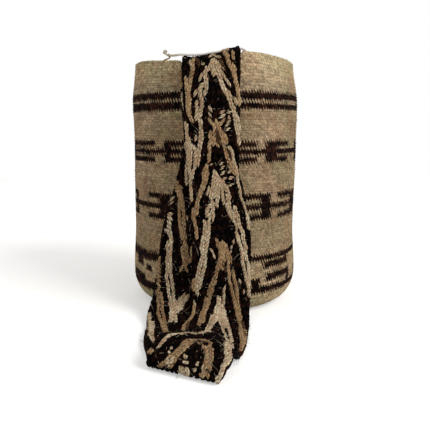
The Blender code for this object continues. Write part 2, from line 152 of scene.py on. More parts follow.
def addPiece(name, points, faceSets, materials):  # one smooth mesh object at the origin, from arrays of faces
    mesh = bpy.data.meshes.new(name)
    points = np.asarray(points, np.float32)
    mesh.vertices.add(len(points))
    mesh.vertices.foreach_set("co", points.ravel())
    if faceSets:
        corners = np.concatenate([np.asarray(f, np.int32).ravel() for f in faceSets])
        sizes = np.concatenate([np.full(len(f), np.shape(f)[1], np.int32) for f in faceSets])
        mesh.loops.add(len(corners))
        mesh.loops.foreach_set("vertex_index", corners)
        mesh.polygons.add(len(sizes))
        mesh.polygons.foreach_set("loop_start", np.concatenate([[0], np.cumsum(sizes)[:-1]]).astype(np.int32))
        mesh.polygons.foreach_set("use_smooth", np.full(len(sizes), True))
    mesh.update(calc_edges=True)
    for material in materials:
        mesh.materials.append(material)
    piece = bpy.data.objects.new(name, mesh)
    bpy.context.scene.collection.objects.link(piece)
    return piece


def setAttribute(mesh, name, values, kind="FLOAT", domain="POINT"):
    layer = mesh.attributes.new(name, kind, domain)
    word = "vector" if kind == "FLOAT_VECTOR" else "value"
    layer.data.foreach_set(word, np.asarray(values, np.float32).ravel())


def grow(piece, tree, **values):  # runs a node tree on a piece and keeps the result as its plain mesh
    modifier = piece.modifiers.new(tree.name, "NODES")
    modifier.node_group = tree
    for item in tree.interface.items_tree:
        if item.item_type == "SOCKET" and item.in_out == "INPUT" and item.name in values:
            modifier[item.identifier] = values[item.name]
    graph = bpy.context.evaluated_depsgraph_get()
    mesh = bpy.data.meshes.new_from_object(piece.evaluated_get(graph), preserve_all_data_layers=True, depsgraph=graph)
    piece.modifiers.clear()
    old = piece.data
    piece.data = mesh
    bpy.data.meshes.remove(old)
    mesh.name = piece.name
    return piece


def newTree(name, inputs):  # a geometry node tree with named inputs, which start at these values; None is a material
    tree = bpy.data.node_groups.new(name, "GeometryNodeTree")
    tree.interface.new_socket("Geometry", in_out="INPUT", socket_type="NodeSocketGeometry")
    kinds = {float: "NodeSocketFloat", int: "NodeSocketInt", type(None): "NodeSocketMaterial"}
    for label, value in inputs.items():
        socket = tree.interface.new_socket(label, in_out="INPUT", socket_type=kinds[type(value)])
        if value is not None:
            socket.default_value = value
    tree.interface.new_socket("Geometry", in_out="OUTPUT", socket_type="NodeSocketGeometry")
    return tree, functools.partial(addNode, tree), tree.nodes.new("NodeGroupInput").outputs


def joinPieces(parts, name):
    piece = parts[0]
    if len(parts) > 1:
        with bpy.context.temp_override(active_object=piece, selected_editable_objects=parts):
            bpy.ops.object.join()
    piece.name = piece.data.name = name
    return piece


def handOver(piece, node=None):  # every piece rides the part's one body, and may stand for a node of the part
    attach(piece, "root")
    if node:
        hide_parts(node)
    print(piece.name, len(piece.data.polygons), "faces")


def wayAlong(points):  # the length along a row of points, up to each of them
    return np.concatenate([[0.0], np.cumsum(np.linalg.norm(np.diff(points, axis=0), axis=1))])


def spaced(points, length, at):  # the places on a row of points at these lengths along it
    return np.stack([np.interp(at, length, points[:, k]) for k in range(3)], 1)


def relax(rows):  # evens out what lies between the first and the last of a row, in place
    for _ in range(2):
        rows[1:-1] = (rows[:-2] + 2 * rows[1:-1] + rows[2:]) / 4


def tubeFaces(rows, count, first=0):  # quads between closed rings of count points each
    k, c = np.arange(rows - 1)[:, None] * count + first, np.arange(count)[None, :]
    after = (c + 1) % count
    return np.stack([k + c, k + after, k + count + after, k + count + c], 2).reshape(-1, 4)


# wool, spun by hand

wools = dict(
    natural="#E2C299", naturalCool="#C6B085", naturalRed="#CAA077", dark="#070404", darkBrown="#301911",
    # painted light and shade by height: what each height of the bag's wool does to those
    foot="#DCE6E8", low="#CACDCF", even="#BDBCC0", band="#BCC1CA", upper="#D0D3D9", rim="#EAEFF4",
    cream="#F7E5C2", creamDeep="#C2A985", creamWarm="#CEA684", tan="#CAAA80", tanDeep="#967956", tanWarm="#A67D57",
    brown="#6B4D33", brownDeep="#3D2718", black="#030202", blackBrown="#0B0706", blackWarm="#2E1911",
    cord="#EBE7DF", cordDeep="#A99A80",
)


# sizes in mm: how far one shade reaches, a patch of a warmer one, a tuft of fibres and its relief
# single fibres are too fine to show, so they are drawn as tufts
spun = dict(drift=16.666667, patch=5.263158, tuft=1.5625, relief=0.5, roughness=0.95)


def spunWool(name, pale, deep, warm, speckle, gloss=0.15, patchy=0.44):
    material, node = newMaterial(name)
    place = node("TexCoord").outputs["Object"]
    chance = node("Attribute", attribute_name="chance")
    drift = node("TexNoise", {"Vector": place, "Scale": perMetre(spun["drift"]), "Detail": 2.0})
    mixer = node("Math", [chance.outputs["Fac"], drift], "ADD")
    mixer = node("MapRange", [mixer, 0.35, 1.65, 0.0, 1.0])
    fibre = node("TexNoise", {"Vector": place, "Scale": perMetre(spun["tuft"]), "Detail": 5.0, "Roughness": 0.7})
    flecks = node("MapRange", [fibre, 0.36, 0.64, 1 - speckle, 1 + speckle])
    colour = node("Mix", {0: mixer, 6: linear(deep), 7: linear(pale)}, data_type="RGBA")
    tint = node("TexNoise", {"Vector": place, "Scale": perMetre(spun["patch"]), "Detail": 3.0, "W": 3.0},
                noise_dimensions="4D")
    tint = node("MapRange", [tint, patchy, patchy + 0.22, 0.0, 0.9])
    colour = node("Mix", {0: tint, 6: colour.outputs[2], 7: linear(warm)}, data_type="RGBA")
    # painted shade: floats darken toward the crease between their plies and at their tapered ends, down to 0.4 of
    # their colour
    crease = node("Attribute", attribute_name="crease")
    shade = node("MapRange", [crease.outputs["Fac"], 0.0, 1.0, 1.0, 0.4])
    flecks = node("Math", [flecks, shade], "MULTIPLY")
    scaled = node("VectorMath", {0: colour.outputs[2], "Scale": flecks}, "SCALE")
    relief = node("Bump", {"Height": fibre, "Strength": 0.8, "Distance": spun["relief"] / 1000})
    shader = node("BsdfPrincipled", {
        "Base Color": scaled, "Roughness": spun["roughness"], "Specular IOR Level": gloss, "Normal": relief})
    node("OutputMaterial", {"Surface": shader})
    return material


# undyed fleece spun by hand: matt, hairy, flecked and uneven in shade from one length of yarn to the next
creamWool = spunWool("undyed cream wool yarn", wools["cream"], wools["creamDeep"], wools["creamWarm"], 0.5)
tanWool = spunWool("undyed tan wool yarn", wools["tan"], wools["tanDeep"], wools["tanWarm"], 0.5)
brownWool = spunWool("undyed brown wool yarn", wools["brown"], wools["brownDeep"], wools["brownDeep"], 0.5)
# plied thin and tight, so smoother and more even to the eye than the strap's yarns
cordWool = spunWool("pale wool cord", wools["cord"], wools["cordDeep"], wools["cordDeep"], 0.2, patchy=0.54)
seamWool = spunWool("tan wool sewing yarn", wools["tan"], wools["tanDeep"], wools["tanWarm"], 0.2)
# a black sheep's fleece: no gleam, and black that turns brown where the light has bleached it
blackWool = spunWool("black sheep wool yarn", wools["blackBrown"], wools["black"], wools["blackWarm"], 0.7,
                     gloss=0.03, patchy=0.47)


# drawcord, a limp three-ply cord that lies over the strap and ends in a small knot at each side

cord = dict(
    diameter=0.0024, plyPitch=0.0062, touch=0.0003, step=0.0009, knot=0.0052, knotLumps=0.10, knotSpread=1.08,
    knotYarn=0.0021, knotPitch=0.003, tail=0.0017, tailStep=0.0008,
    worn=((-0.038, 0.12), (-0.031, 1.1)),  # handled at its free end, and paler from there on
    route=((0.0636, -0.0534, 0.2620), (0.0600, -0.0508, 0.2612), (0.0555, -0.0500, 0.2618),
           (0.0505, -0.0510, 0.2650), (0.0455, -0.0535, 0.2705), (0.0405, -0.0568, 0.2768),
           (0.0355, -0.0605, 0.2828), (0.0305, -0.0645, 0.2863), (0.0250, -0.0690, 0.2866),
           (0.0190, -0.0740, 0.2853), (0.0130, -0.0790, 0.2844), (0.0080, -0.0850, 0.2820),
           (0.0035, -0.0905, 0.2797), (-0.0010, -0.0945, 0.2787), (-0.0065, -0.0965, 0.2773),
           (-0.0130, -0.0972, 0.2763), (-0.0200, -0.0975, 0.2761), (-0.0270, -0.0978, 0.2761),
           (-0.0340, -0.0985, 0.2760), (-0.0390, -0.0992, 0.2752), (-0.0425, -0.0997, 0.2750),
           (-0.0446, -0.0999, 0.2754), (-0.0460, -0.1001, 0.2763)),
    tailRoute=((-0.0475, -0.1000, 0.2760), (-0.0440, -0.0985, 0.2735), (-0.0470, -0.0925, 0.2728),
               (-0.0510, -0.0850, 0.2722), (-0.0530, -0.0775, 0.2712)),
)


def smoothLine(points, step):  # a route as a smooth line of evenly spaced points
    points = np.asarray(points, float)
    padded = np.vstack([2 * points[0] - points[1], points, 2 * points[-1] - points[-2]])
    line = []
    for a, b, c, d in zip(padded, padded[1:], padded[2:], padded[3:]):
        t = np.linspace(0, 1, 8, endpoint=False)[:, None]
        line.append(0.5 * (2 * b + (c - a) * t + (2 * a - 5 * b + 4 * c - d) * t**2 + (3 * b - a - 3 * c + d) * t**3))
    line = np.vstack(line + [points[-1:]])
    length = wayAlong(line)
    return spaced(line, length, np.linspace(0, length[-1], max(3, round(length[-1] / step) + 1)))


def pliedYarn(name, line, diameter, material, pitch, plies=2, sides=8, worn=None):  # plies twisted round a line
    along = np.gradient(line, axis=0)
    along /= np.linalg.norm(along, axis=1, keepdims=True)
    across = np.zeros_like(along)
    side = np.cross(along[0], (0.31, 0.2, 0.93))  # any direction that no yarn here follows
    for k, direction in enumerate(along):
        side = side - direction * (side @ direction)
        side /= np.linalg.norm(side)
        across[k] = side
    third = np.cross(along, across)
    far, rows = wayAlong(line), len(line)
    radius = diameter * 0.29  # two plies or three press into each other a little
    around = 2 * math.pi * np.arange(sides) / sides
    points, faces = [], []
    for ply in range(plies):
        turn = 2 * math.pi * (far / pitch + ply / plies)
        middle = line + (across * np.cos(turn)[:, None] + third * np.sin(turn)[:, None]) * (diameter / 2 - radius)
        ring = middle[:, None] + radius * (across[:, None] * np.cos(around)[None, :, None]
                                           + third[:, None] * np.sin(around)[None, :, None])
        points.append(ring.reshape(-1, 3))
        first = ply * rows * sides
        ends = first + np.arange(sides)[::-1], first + (rows - 1) * sides + np.arange(sides)
        faces += [tubeFaces(rows, sides, first), ends[0][None, :], ends[1][None, :]]
    points = np.vstack(points)
    piece = addPiece(name, points, faces, [material])
    chance = np.random.default_rng(rows).random(len(points)) * 0.3 + 0.1
    setAttribute(piece.data, "chance", np.interp(points[:, 0], *zip(*worn)) if worn else chance)
    return piece


def overhandKnot(name, centre, toward, size, yarn, material):  # a cord's own knot: one closed winding drawn tight
    t = np.linspace(0, 2 * math.pi, 121)
    knot = np.stack([np.sin(t) + 2 * np.sin(2 * t), np.cos(t) - 2 * np.cos(2 * t), -1.9 * np.sin(3 * t)], 1)
    knot *= (size / 2 - yarn / 2) / np.linalg.norm(knot, axis=1).max()
    toward = np.asarray(toward) / np.linalg.norm(toward)
    side = np.cross(toward, (0, 0, 1.0))
    side /= np.linalg.norm(side)
    axes = np.stack([side, np.cross(toward, side), toward])
    return pliedYarn(name, knot @ axes + centre, yarn, material, cord["knotPitch"], sides=6)


def makeCord():
    line = smoothLine(cord["route"], cord["step"])
    piece = pliedYarn("drawcord_yarn", line, cord["diameter"], cordWool, cord["plyPitch"], 3, worn=cord["worn"])
    size = cord["knot"] / 2 * (1 + cord["knotLumps"])
    for name, node, end, before in (("drawcord_end_knot", "cord_end_knot", -1, -2),
                                    ("drawcord_root_knot", "cord_root_knot", 0, 1)):
        tip, last = np.array(cord["route"][end]), np.array(cord["route"][before])
        toward = (tip - last) / np.linalg.norm(tip - last)
        centre = tip + toward * (size + cord["touch"])
        knot = overhandKnot(name, centre, toward, cord["knot"] * cord["knotSpread"], cord["knotYarn"], cordWool)
        if end == -1:
            tailLine = smoothLine(cord["tailRoute"], cord["tailStep"])
            tail = pliedYarn("drawcord_tail", tailLine, cord["tail"], tanWool, cord["knotPitch"])
            knot = joinPieces([knot, tail], name)
        handOver(knot, node)
    handOver(piece, "drawcord")


makeCord()

# bag, knotted up in rounds of small looped stitches

bag = dict(
    height=0.2772, wall=0.0045, baseThick=0.005, cornerReach=0.037, cornerHeight=0.038, cornerPower=2.3,
    foot=0.0985, belly=0.0958, shoulder=0.0968, mouth=0.0918, footTop=0.095, bellyTop=0.190, shoulderHeight=0.232,
    rimTilt=0.0042, rimTiltAngle=math.radians(25), rimWave=0.042,
    rimPress=0.0085, rimPressAngle=math.radians(19.6), rimPressMiddle=math.radians(-1.4),  # beneath the strap
    rimCrest=0.0024, rimCrestAngles=np.radians((3, 9, 18.5, 23)),  # where it stands up beneath the strap's right edge
    slack=((0.0009, 3, 0.7, 14), (0.0006, 5, 0.0, -31)),  # the side's waves: depth, number round, phase, climb
    slackFrom=np.radians((35, 75)), slackTo=np.radians((135, 155)), slackFoot=(0.01, 0.05),  # where they rise and end
    stitchesRound=180, course=0.0028, cornerCourse=9, baseRings=10, rimCourses=2.5,
    profileSteps=900, rimSteps=25, perStitch=2, perCourse=2,  # points of the profile and of the mesh
    insideFrom=4, insideSkip=9, closest=0.2, middleRound=4,  # the inside needs few; what the base's fans span
    stitchHeight=0.00034, grooveDepth=0.00014, unevenness=0.0005, patchSize=0.016,
)


def rimDrop(angle):  # how far the rim stands above its even height
    t = angle / bag["rimTiltAngle"]
    tilt = bag["rimTilt"] * t * np.exp(0.5 - 0.5 * t * t)
    start, full, fades, ends = bag["rimCrestAngles"]
    crest = bag["rimCrest"] * smooth(start, full, angle) * (1 - smooth(fades, ends, angle))
    return tilt + crest - bag["rimPress"] * np.exp(-(((angle - bag["rimPressMiddle"]) / bag["rimPressAngle"]) ** 8))


def liftShare(z):  # how much of the rim's rise and fall reaches down to a height
    return smooth(bag["height"] - bag["rimWave"], bag["height"] - bag["wall"], z)


def wallRadius(z):  # how far the wall's outside stands from the middle: foot, belly, shoulder, mouth and round corner
    z = np.asarray(z, float)
    r = bag["foot"] + (bag["belly"] - bag["foot"]) * smooth(bag["cornerHeight"], bag["footTop"], z)
    r = r + (bag["shoulder"] - bag["belly"]) * smooth(bag["bellyTop"], bag["shoulderHeight"], z)
    r = r + (bag["mouth"] - bag["shoulder"]) * smooth(bag["shoulderHeight"], bag["height"], z)
    inward = np.clip((bag["cornerHeight"] - z) / bag["cornerHeight"], 0.0, 1.0)
    roundOff = (1 - inward ** bag["cornerPower"]) ** (1 / bag["cornerPower"])
    return r - bag["cornerReach"] * (1 - roundOff)


def sway(angle, z):  # the wall's slack at the two sides, none in front or behind
    side = smooth(*bag["slackFrom"], np.abs(angle)) * (1 - smooth(*bag["slackTo"], np.abs(angle)))
    waves = sum(depth * np.sin(count * angle + phase + climb * z) for depth, count, phase, climb in bag["slack"])
    return side * waves * smooth(*bag["slackFoot"], z)


# the woven-in figures: dark fields as (first angle, last angle, first course, last course), front at 0, +X at 90
figures = dict(
    lines=((80, 82), (83.4, 86)), lineJog=(-100, -20, 79.4, 82.4),  # the round's start widens a line at the left
    comb=dict(arms=((60, 62), (63, 65), (66, 68)), spines=(  # left edge, right edge, where its arms end on the right
        (-109.5, -104.5, -80), (-73.5, -68.5, -41.5), (-33.2, -28, -8), (3, 8, 28), (35.2, 45.6, 59), (71, 81, 98),
        (107, 113, 131), (143, 149, 167), (179, 185, 203), (-145.5, -140, -120))),
    rake=dict(arms=((38, 40), (42, 44), (46, 48)), spines=(  # where its arms start on the left, left edge, right edge
        (-126, -108, -101), (-90, -72, -66), (-49.3, -38.4, -28.6), (-22, -3, 3), (14, 31.5, 40), (47, 64.5, 74.8),
        (86, 103, 110), (121, 138, 145), (155, 172, 180), (-162, -143, -136))),
    keyLines=((8.8, 11.5), (21.9, 24)), keyStart=25.9, keyRepeat=360 / 7, keyTurns=(-4, -3, -1, 0, 1, 2, 3),
    keyLeft=((-88, -40, 20.6, 24.2), (-68, -56.5, 17.4, 21.5), (-51.5, -45.5, 16.4, 18.5), (-76, -60, 11.5, 14.5),
             (-66, -53, 8.4, 14), (-56, -38, 8.2, 11.7)),  # the key's odd turn at the left, where a round ends
    key=((-1.6, 4.4, 9, 15), (9.8, 35.8, 13.7, 16.5), (31.4, 35.8, 9, 16.5), (7.4, 33.4, 18.7, 21.3),
         (29.2, 33.4, 19, 23)),
    around=(-200, 200), margin=1.5,  # a line goes all round; how far off, in stitches, a field is still told
)


def darkFields():
    found = [(*figures["around"], *courses) for courses in figures["lines"] + figures["keyLines"]]
    comb, rake = figures["comb"], figures["rake"]
    for band in (comb, rake):
        found.append((*figures["around"], *band["arms"][1]))
        low, high = band["arms"][0][0], band["arms"][2][1]
        for a, b, c in band["spines"]:
            spine, reach = ((a, b), (b - 2, c)) if band is comb else ((b, c), (a, b + 2))
            found.append((*spine, low, high))
            found += [(*reach, *courses) for courses in band["arms"]]
    found += [figures["lineJog"], *figures["keyLeft"]]
    for k in figures["keyTurns"]:
        turn = figures["keyStart"] + k * figures["keyRepeat"]
        found += [(turn + a, turn + b, c, d) for a, b, c, d in figures["key"]]
    return found


def darkness(angle, course):  # how far inside a dark field, in stitches; below 0 is outside
    margin = figures["margin"]
    most = np.full(np.broadcast(angle, course).shape, -margin)
    pitch = 360 / bag["stitchesRound"]
    for a, b, c, d in darkFields():
        for turn in (-360, 0, 360):
            if b + turn >= -181 and a + turn <= 181:
                across = np.minimum(angle - a - turn, b + turn - angle) / pitch
                most = np.maximum(most, np.minimum(across, np.minimum(course - c, d - course)))
    return np.clip(most, -margin, margin)


def wallProfile():  # radius, height and course of the wall from the foot, up over the rim and down to the inner foot
    half, steps, corner = bag["wall"] / 2, bag["profileSteps"], bag["cornerHeight"]
    top = bag["height"] - half
    z = np.concatenate([corner * np.linspace(0, 1, steps) ** 3, np.linspace(corner, top, steps)[1:]])
    turn = np.radians(np.linspace(0, 180, bag["rimSteps"])[1:-1])
    inner = np.linspace(0, 1, steps)
    zIn = np.concatenate([np.linspace(top, corner, steps),
                          bag["baseThick"] + (corner - bag["baseThick"]) * (1 - inner[1:]) ** 3])
    inward = np.clip((corner - zIn) / (corner - bag["baseThick"]), 0, 1)
    foot = bag["foot"] - bag["cornerReach"] - bag["wall"]
    bend = foot + bag["cornerReach"] * (1 - inward ** bag["cornerPower"]) ** (1 / bag["cornerPower"])
    rIn = np.where(zIn > corner, wallRadius(zIn) - bag["wall"], bend)
    radius = np.concatenate([wallRadius(z), wallRadius(top) - half + half * np.cos(turn), rIn])
    height = np.concatenate([z, top + half * np.sin(turn), zIn])
    arc = np.concatenate([[0], np.cumsum(np.hypot(np.diff(radius), np.diff(height)))])
    cornerZ = bag["cornerCourse"] * bag["course"]
    course = bag["cornerCourse"] + (arc - np.interp(cornerZ, z, arc[:len(z)])) / bag["course"]
    upper = z >= cornerZ
    course[:len(z)][upper] = z[upper] / bag["course"]
    course[len(z):] = course[len(z) - 1] + (arc[len(z):] - arc[len(z) - 1]) / bag["course"]
    return radius, height, course, course[len(z) - 1]


def stitchTree():  # pushes the wall in and out, so that each looped stitch stands up as a small slanted bump
    tree, node, given = newTree("looped stitches", {
        "stitch height": bag["stitchHeight"], "groove depth": bag["grooveDepth"], "unevenness": bag["unevenness"],
        "patch size": bag["patchSize"], "wool": None})
    stitch = node("InputNamedAttribute", {"Name": "stitch"}, data_type="FLOAT_VECTOR")
    parts = node("SeparateXYZ", [stitch])
    row = node("Math", [parts.outputs[1]], "FLOOR")
    shift = node("Math", [row, 0.5], "MULTIPLY")
    across = node("Math", [parts.outputs[0], shift], "ADD")
    wave = node("Math", [across, 2 * math.pi], "MULTIPLY")
    wave = node("Math", [wave], "COSINE")
    high = node("Math", [wave, given["stitch height"]], "MULTIPLY")
    up = node("Math", [parts.outputs[1], 2 * math.pi], "MULTIPLY")
    up = node("Math", [up], "COSINE")
    # a stitch's middle lies half a course up, where that cosine is -1
    inRow = node("MapRange", [up, -1.0, 1.0, 1.0, 0.0])
    high = node("Math", [high, inRow], "MULTIPLY")
    groove = node("Math", [up, given["groove depth"]], "MULTIPLY")
    total = node("Math", [high, groove], "SUBTRACT")
    place = node("InputPosition")
    grain = node("Math", [1.0, given["patch size"]], "DIVIDE")
    noise = node("TexNoise", {"Vector": place, "Scale": grain, "Detail": 1.5})
    lump = node("Math", [noise, 0.5], "SUBTRACT")
    lump = node("Math", [lump, given["unevenness"]], "MULTIPLY")
    total = node("Math", [total, lump], "ADD")
    keep = node("InputNamedAttribute", {"Name": "relief"}, data_type="FLOAT")
    total = node("Math", [total, keep], "MULTIPLY")
    normal = node("InputNormal")
    push = node("VectorMath", {0: normal, "Scale": total}, "SCALE")
    moved = node("SetPosition", {"Geometry": given["Geometry"], "Offset": push})
    dyed = node("SetMaterial", {"Geometry": moved, "Material": given["wool"]})
    node("NodeGroupOutput", [dyed])
    return tree


# sizes in mm: how far one shade of beige reaches, a blush on it, a streak in the dark wool, a tuft and its relief
looped = dict(
    patch=58.82353, blush=23.809524, streak=10.526316, tuft=2.1276596, relief=0.6,
    roughness=0.95, gloss=0.06,
    lean=0.35, toothLean=0.28, looseness=0.45, shadeRun=(0.07, 0.9, 0.0),  # in stitches and courses
    # painted light and shade: at which course, in hundreds, the wool takes which height's shade
    paintedLightByHeight=((0.06, "foot"), (0.10, "low"), (0.215, "low"), (0.26, "even"), (0.78, "even"), (0.86, "band"),
             (0.90, "upper"), (0.965, "rim")),
)


def loopedWool():  # hand-spun wool in tight looped stitches: matt, with painted shade in the small holes between the stitches
    material, node = newMaterial("looped undyed wool")
    uv = node("UVMap", uv_map="stitches")
    parts = node("SeparateXYZ", [uv])
    u, v = parts.outputs[0], parts.outputs[1]
    row = node("Math", [v], "FLOOR")
    inRow = node("Math", [v], "FRACT")
    lean = node("Math", [inRow, looped["lean"], u], "MULTIPLY_ADD")
    leant = node("Math", [row, 0.5, lean], "MULTIPLY_ADD")
    inStitch = node("Math", [leant], "FRACT")
    cell = node("CombineXYZ", [node("Math", [leant], "FLOOR"), row])
    chance = node("TexWhiteNoise", [cell], noise_dimensions="2D")
    # teeth: along a field's edge dark and pale stitches reach into each other, one of each to a pitch
    tooth = node("Math", [v, looped["toothLean"], u], "MULTIPLY_ADD")
    tooth = node("Math", [tooth, 0.5], "PINGPONG")
    tooth = node("MapRange", [tooth, 0.0, 0.5, -0.8, 0.5])
    loose = node("Math", [chance, 0.5], "SUBTRACT")
    loose = node("Math", [loose, looped["looseness"], tooth], "MULTIPLY_ADD")
    field = node("Attribute", attribute_name="darkness")
    inside = node("Math", [field.outputs["Fac"], loose], "SUBTRACT")
    dark = node("MapRange", [inside, -0.07, 0.07, 0.0, 1.0])
    # how far from a stitch's middle: a hole lies where four stitches meet
    squares = []
    for way in (inRow, inStitch):
        off = node("MapRange", [way, 0.0, 1.0, -1.0, 1.0])
        squares.append(node("Math", [off, 2.0], "POWER"))
    hole = node("Math", squares, "ADD")
    # one length of yarn runs along a course, so its shade runs along it too
    run = node("VectorMath", [uv, looped["shadeRun"]], "MULTIPLY")
    run = node("TexNoise", {"Vector": run, "Scale": 1.0, "Detail": 2.0})
    place = node("TexCoord").outputs["Object"]
    fibre = node("TexNoise", {"Vector": place, "Scale": perMetre(looped["tuft"]), "Detail": 4.0, "Roughness": 0.75})
    shade = node("MapRange", [run, 0.3, 0.7, 0.84, 1.15])
    # each stitch's own tone, the fibres' flecks, and painted shade that darkens the holes where four stitches meet
    for share in ([chance, 0.0, 1.0, 0.7, 1.28], [fibre, 0.36, 0.64, 0.6, 1.36], [hole, 0.7, 1.7, 1.0, 0.5]):
        shade = node("Math", [shade, node("MapRange", share)], "MULTIPLY")
    patches = node("TexNoise", {"Vector": place, "Scale": perMetre(looped["patch"]), "Detail": 3.0})
    warmth = node("MapRange", [patches, 0.38, 0.62, 0.0, 1.0])
    beige = node("Mix", {0: warmth, 6: linear(wools["naturalCool"]), 7: linear(wools["natural"])}, data_type="RGBA")
    blush = node("TexNoise", {"Vector": place, "Scale": perMetre(looped["blush"]), "Detail": 5.0, "Roughness": 0.65})
    blush = node("MapRange", [blush, 0.47, 0.68, 0.0, 0.85])
    beige = node("Mix", {0: blush, 6: beige.outputs[2], 7: linear(wools["naturalRed"])}, data_type="RGBA")
    # painted light and shade by height: paler and greyer at the foot, palest at the rim
    paintedLightByHeight = node("ValToRGB", {"Fac": node("Math", [v, 100.0], "DIVIDE")})
    stops = paintedLightByHeight.color_ramp.elements
    stops[0].color, stops[1].color = linear(wools["foot"]), linear(wools["rim"])
    for at, wool in looped["paintedLightByHeight"]:
        stops.new(at).color = linear(wools[wool])
    beige = node("Mix", {0: 1.0, 6: beige.outputs[2], 7: paintedLightByHeight}, data_type="RGBA", blend_type="MULTIPLY")
    streak = node("TexNoise", {"Vector": place, "Scale": perMetre(looped["streak"]), "Detail": 4.0, "Roughness": 0.7})
    streak = node("Math", [chance, 0.25, streak], "MULTIPLY_ADD")
    streak = node("MapRange", [streak, 0.5, 0.8, 0.0, 1.0])
    brown = node("Mix", {0: streak, 6: linear(wools["dark"]), 7: linear(wools["darkBrown"])}, data_type="RGBA")
    colour = node("Mix", {0: dark, 6: beige.outputs[2], 7: brown.outputs[2]}, data_type="RGBA")
    scaled = node("VectorMath", {0: colour.outputs[2], "Scale": shade}, "SCALE")
    bump = node("MapRange", [hole, 0.1, 1.9, 1.0, 0.0])
    bump = node("Math", [fibre, 0.35, bump], "MULTIPLY_ADD")
    relief = node("Bump", {"Height": bump, "Strength": 0.5, "Distance": looped["relief"] / 1000})
    shader = node("BsdfPrincipled", {
        "Base Color": scaled, "Roughness": looped["roughness"], "Specular IOR Level": looped["gloss"],
        "Normal": relief})
    node("OutputMaterial", {"Surface": shader})
    return material


def makeBag():
    radius, height, course, rimCourse = wallProfile()
    perStitch, perCourse, pitch = bag["perStitch"], bag["perCourse"], 360 / bag["stitchesRound"]
    rows = np.arange(math.ceil(course[0] * perCourse), math.floor(course[-1] * perCourse) + 1) / perCourse
    inside = rows > rimCourse + bag["insideFrom"]
    rows = np.concatenate([[course[0]], rows[~inside], rows[inside][::bag["insideSkip"]], [course[-1]]])
    rows = rows[np.concatenate([[True], np.diff(rows) > bag["closest"]])]
    r, z = np.interp(rows, course, radius), np.interp(rows, course, height)
    # the two round bases: rings that shrink to a middle point
    shrink = np.arange(1, bag["baseRings"] + 1) / (bag["baseRings"] + 1)
    under, floor = r[0] * shrink, r[-1] * shrink[::-1]
    rows = np.concatenate([
        rows[0] - (r[0] - under) / bag["course"], rows, rows[-1] + (r[-1] - floor) / bag["course"]])
    r = np.concatenate([under, r, floor])
    z = np.concatenate([under * 0, z, floor * 0 + bag["baseThick"]])
    count = bag["stitchesRound"] * perStitch
    u = np.arange(count) / perStitch
    turn = (np.radians(u * pitch) + math.pi) % (2 * math.pi) - math.pi
    reach = r[:, None] + sway(turn[None, :], z[:, None])
    lift = liftShare(z)[:, None] * rimDrop(turn)[None, :]
    points = np.stack([reach * np.sin(turn), -reach * np.cos(turn), z[:, None] + lift], axis=2).reshape(-1, 3)
    overRim = rimCourse + bag["rimCourses"] / 2
    mirrored = np.where(rows > overRim, 2 * overRim - rows, rows)
    field = darkness(np.degrees(turn)[None, :], mirrored[:, None])
    # where each face lies in stitches and courses; the last rings close in fans on two middle points
    u0 = np.broadcast_to(u[None, :], (len(rows) - 1, count))
    v0, v1 = (np.broadcast_to(v[:, None], u0.shape) for v in (rows[:-1], rows[1:]))
    u1 = u0 + 1 / perStitch
    uv = [np.stack([np.stack(pair, 2) for pair in ((u0, v0), (u1, v0), (u1, v1), (u0, v1))], 2).reshape(-1, 2)]
    ring = np.arange(count)
    beside, last = (ring + 1) % count, (len(rows) - 1) * count
    bottom = np.stack([beside, ring, np.full(count, len(points))], 1)
    top = np.stack([last + ring, last + beside, np.full(count, len(points) + 1)], 1)
    ends = (rows[0], rows[0] - bag["middleRound"]), (rows[-1], rows[-1] + bag["middleRound"])
    for (edge, middle), (left, right) in zip(ends, ((u + 1 / perStitch, u), (u, u + 1 / perStitch))):
        corners = (left, edge), (right, edge), (u + 0.5 / perStitch, middle)
        uv.append(np.stack([np.stack([a, np.full(count, b)], 1) for a, b in corners], 1).reshape(-1, 2))
    middles = np.array([(0.0, 0.0, 0.0), (0.0, 0.0, bag["baseThick"])])
    piece = addPiece("bag_wall", np.concatenate([points, middles]), [tubeFaces(len(rows), count), bottom, top], [])
    stitches = np.stack([*np.broadcast_arrays(u[None, :], rows[:, None], 0.0)], 2).reshape(-1, 3)
    piece.data.uv_layers.new(name="stitches").data.foreach_set("uv", np.concatenate(uv).astype(np.float32).ravel())
    setAttribute(piece.data, "stitch", [*stitches, *((0, middle, 0) for _, middle in ends)], "FLOAT_VECTOR")
    setAttribute(piece.data, "darkness", [*field.ravel(), -figures["margin"], -figures["margin"]])
    setAttribute(piece.data, "relief", [*np.ones(field.size), 0, 0])
    grow(piece, stitchTree(), wool=loopedWool())
    handOver(piece, "bag_body")


makeBag()

# strap, one flat braid: it hangs down the front, runs out on the floor, folds and comes back up beneath itself

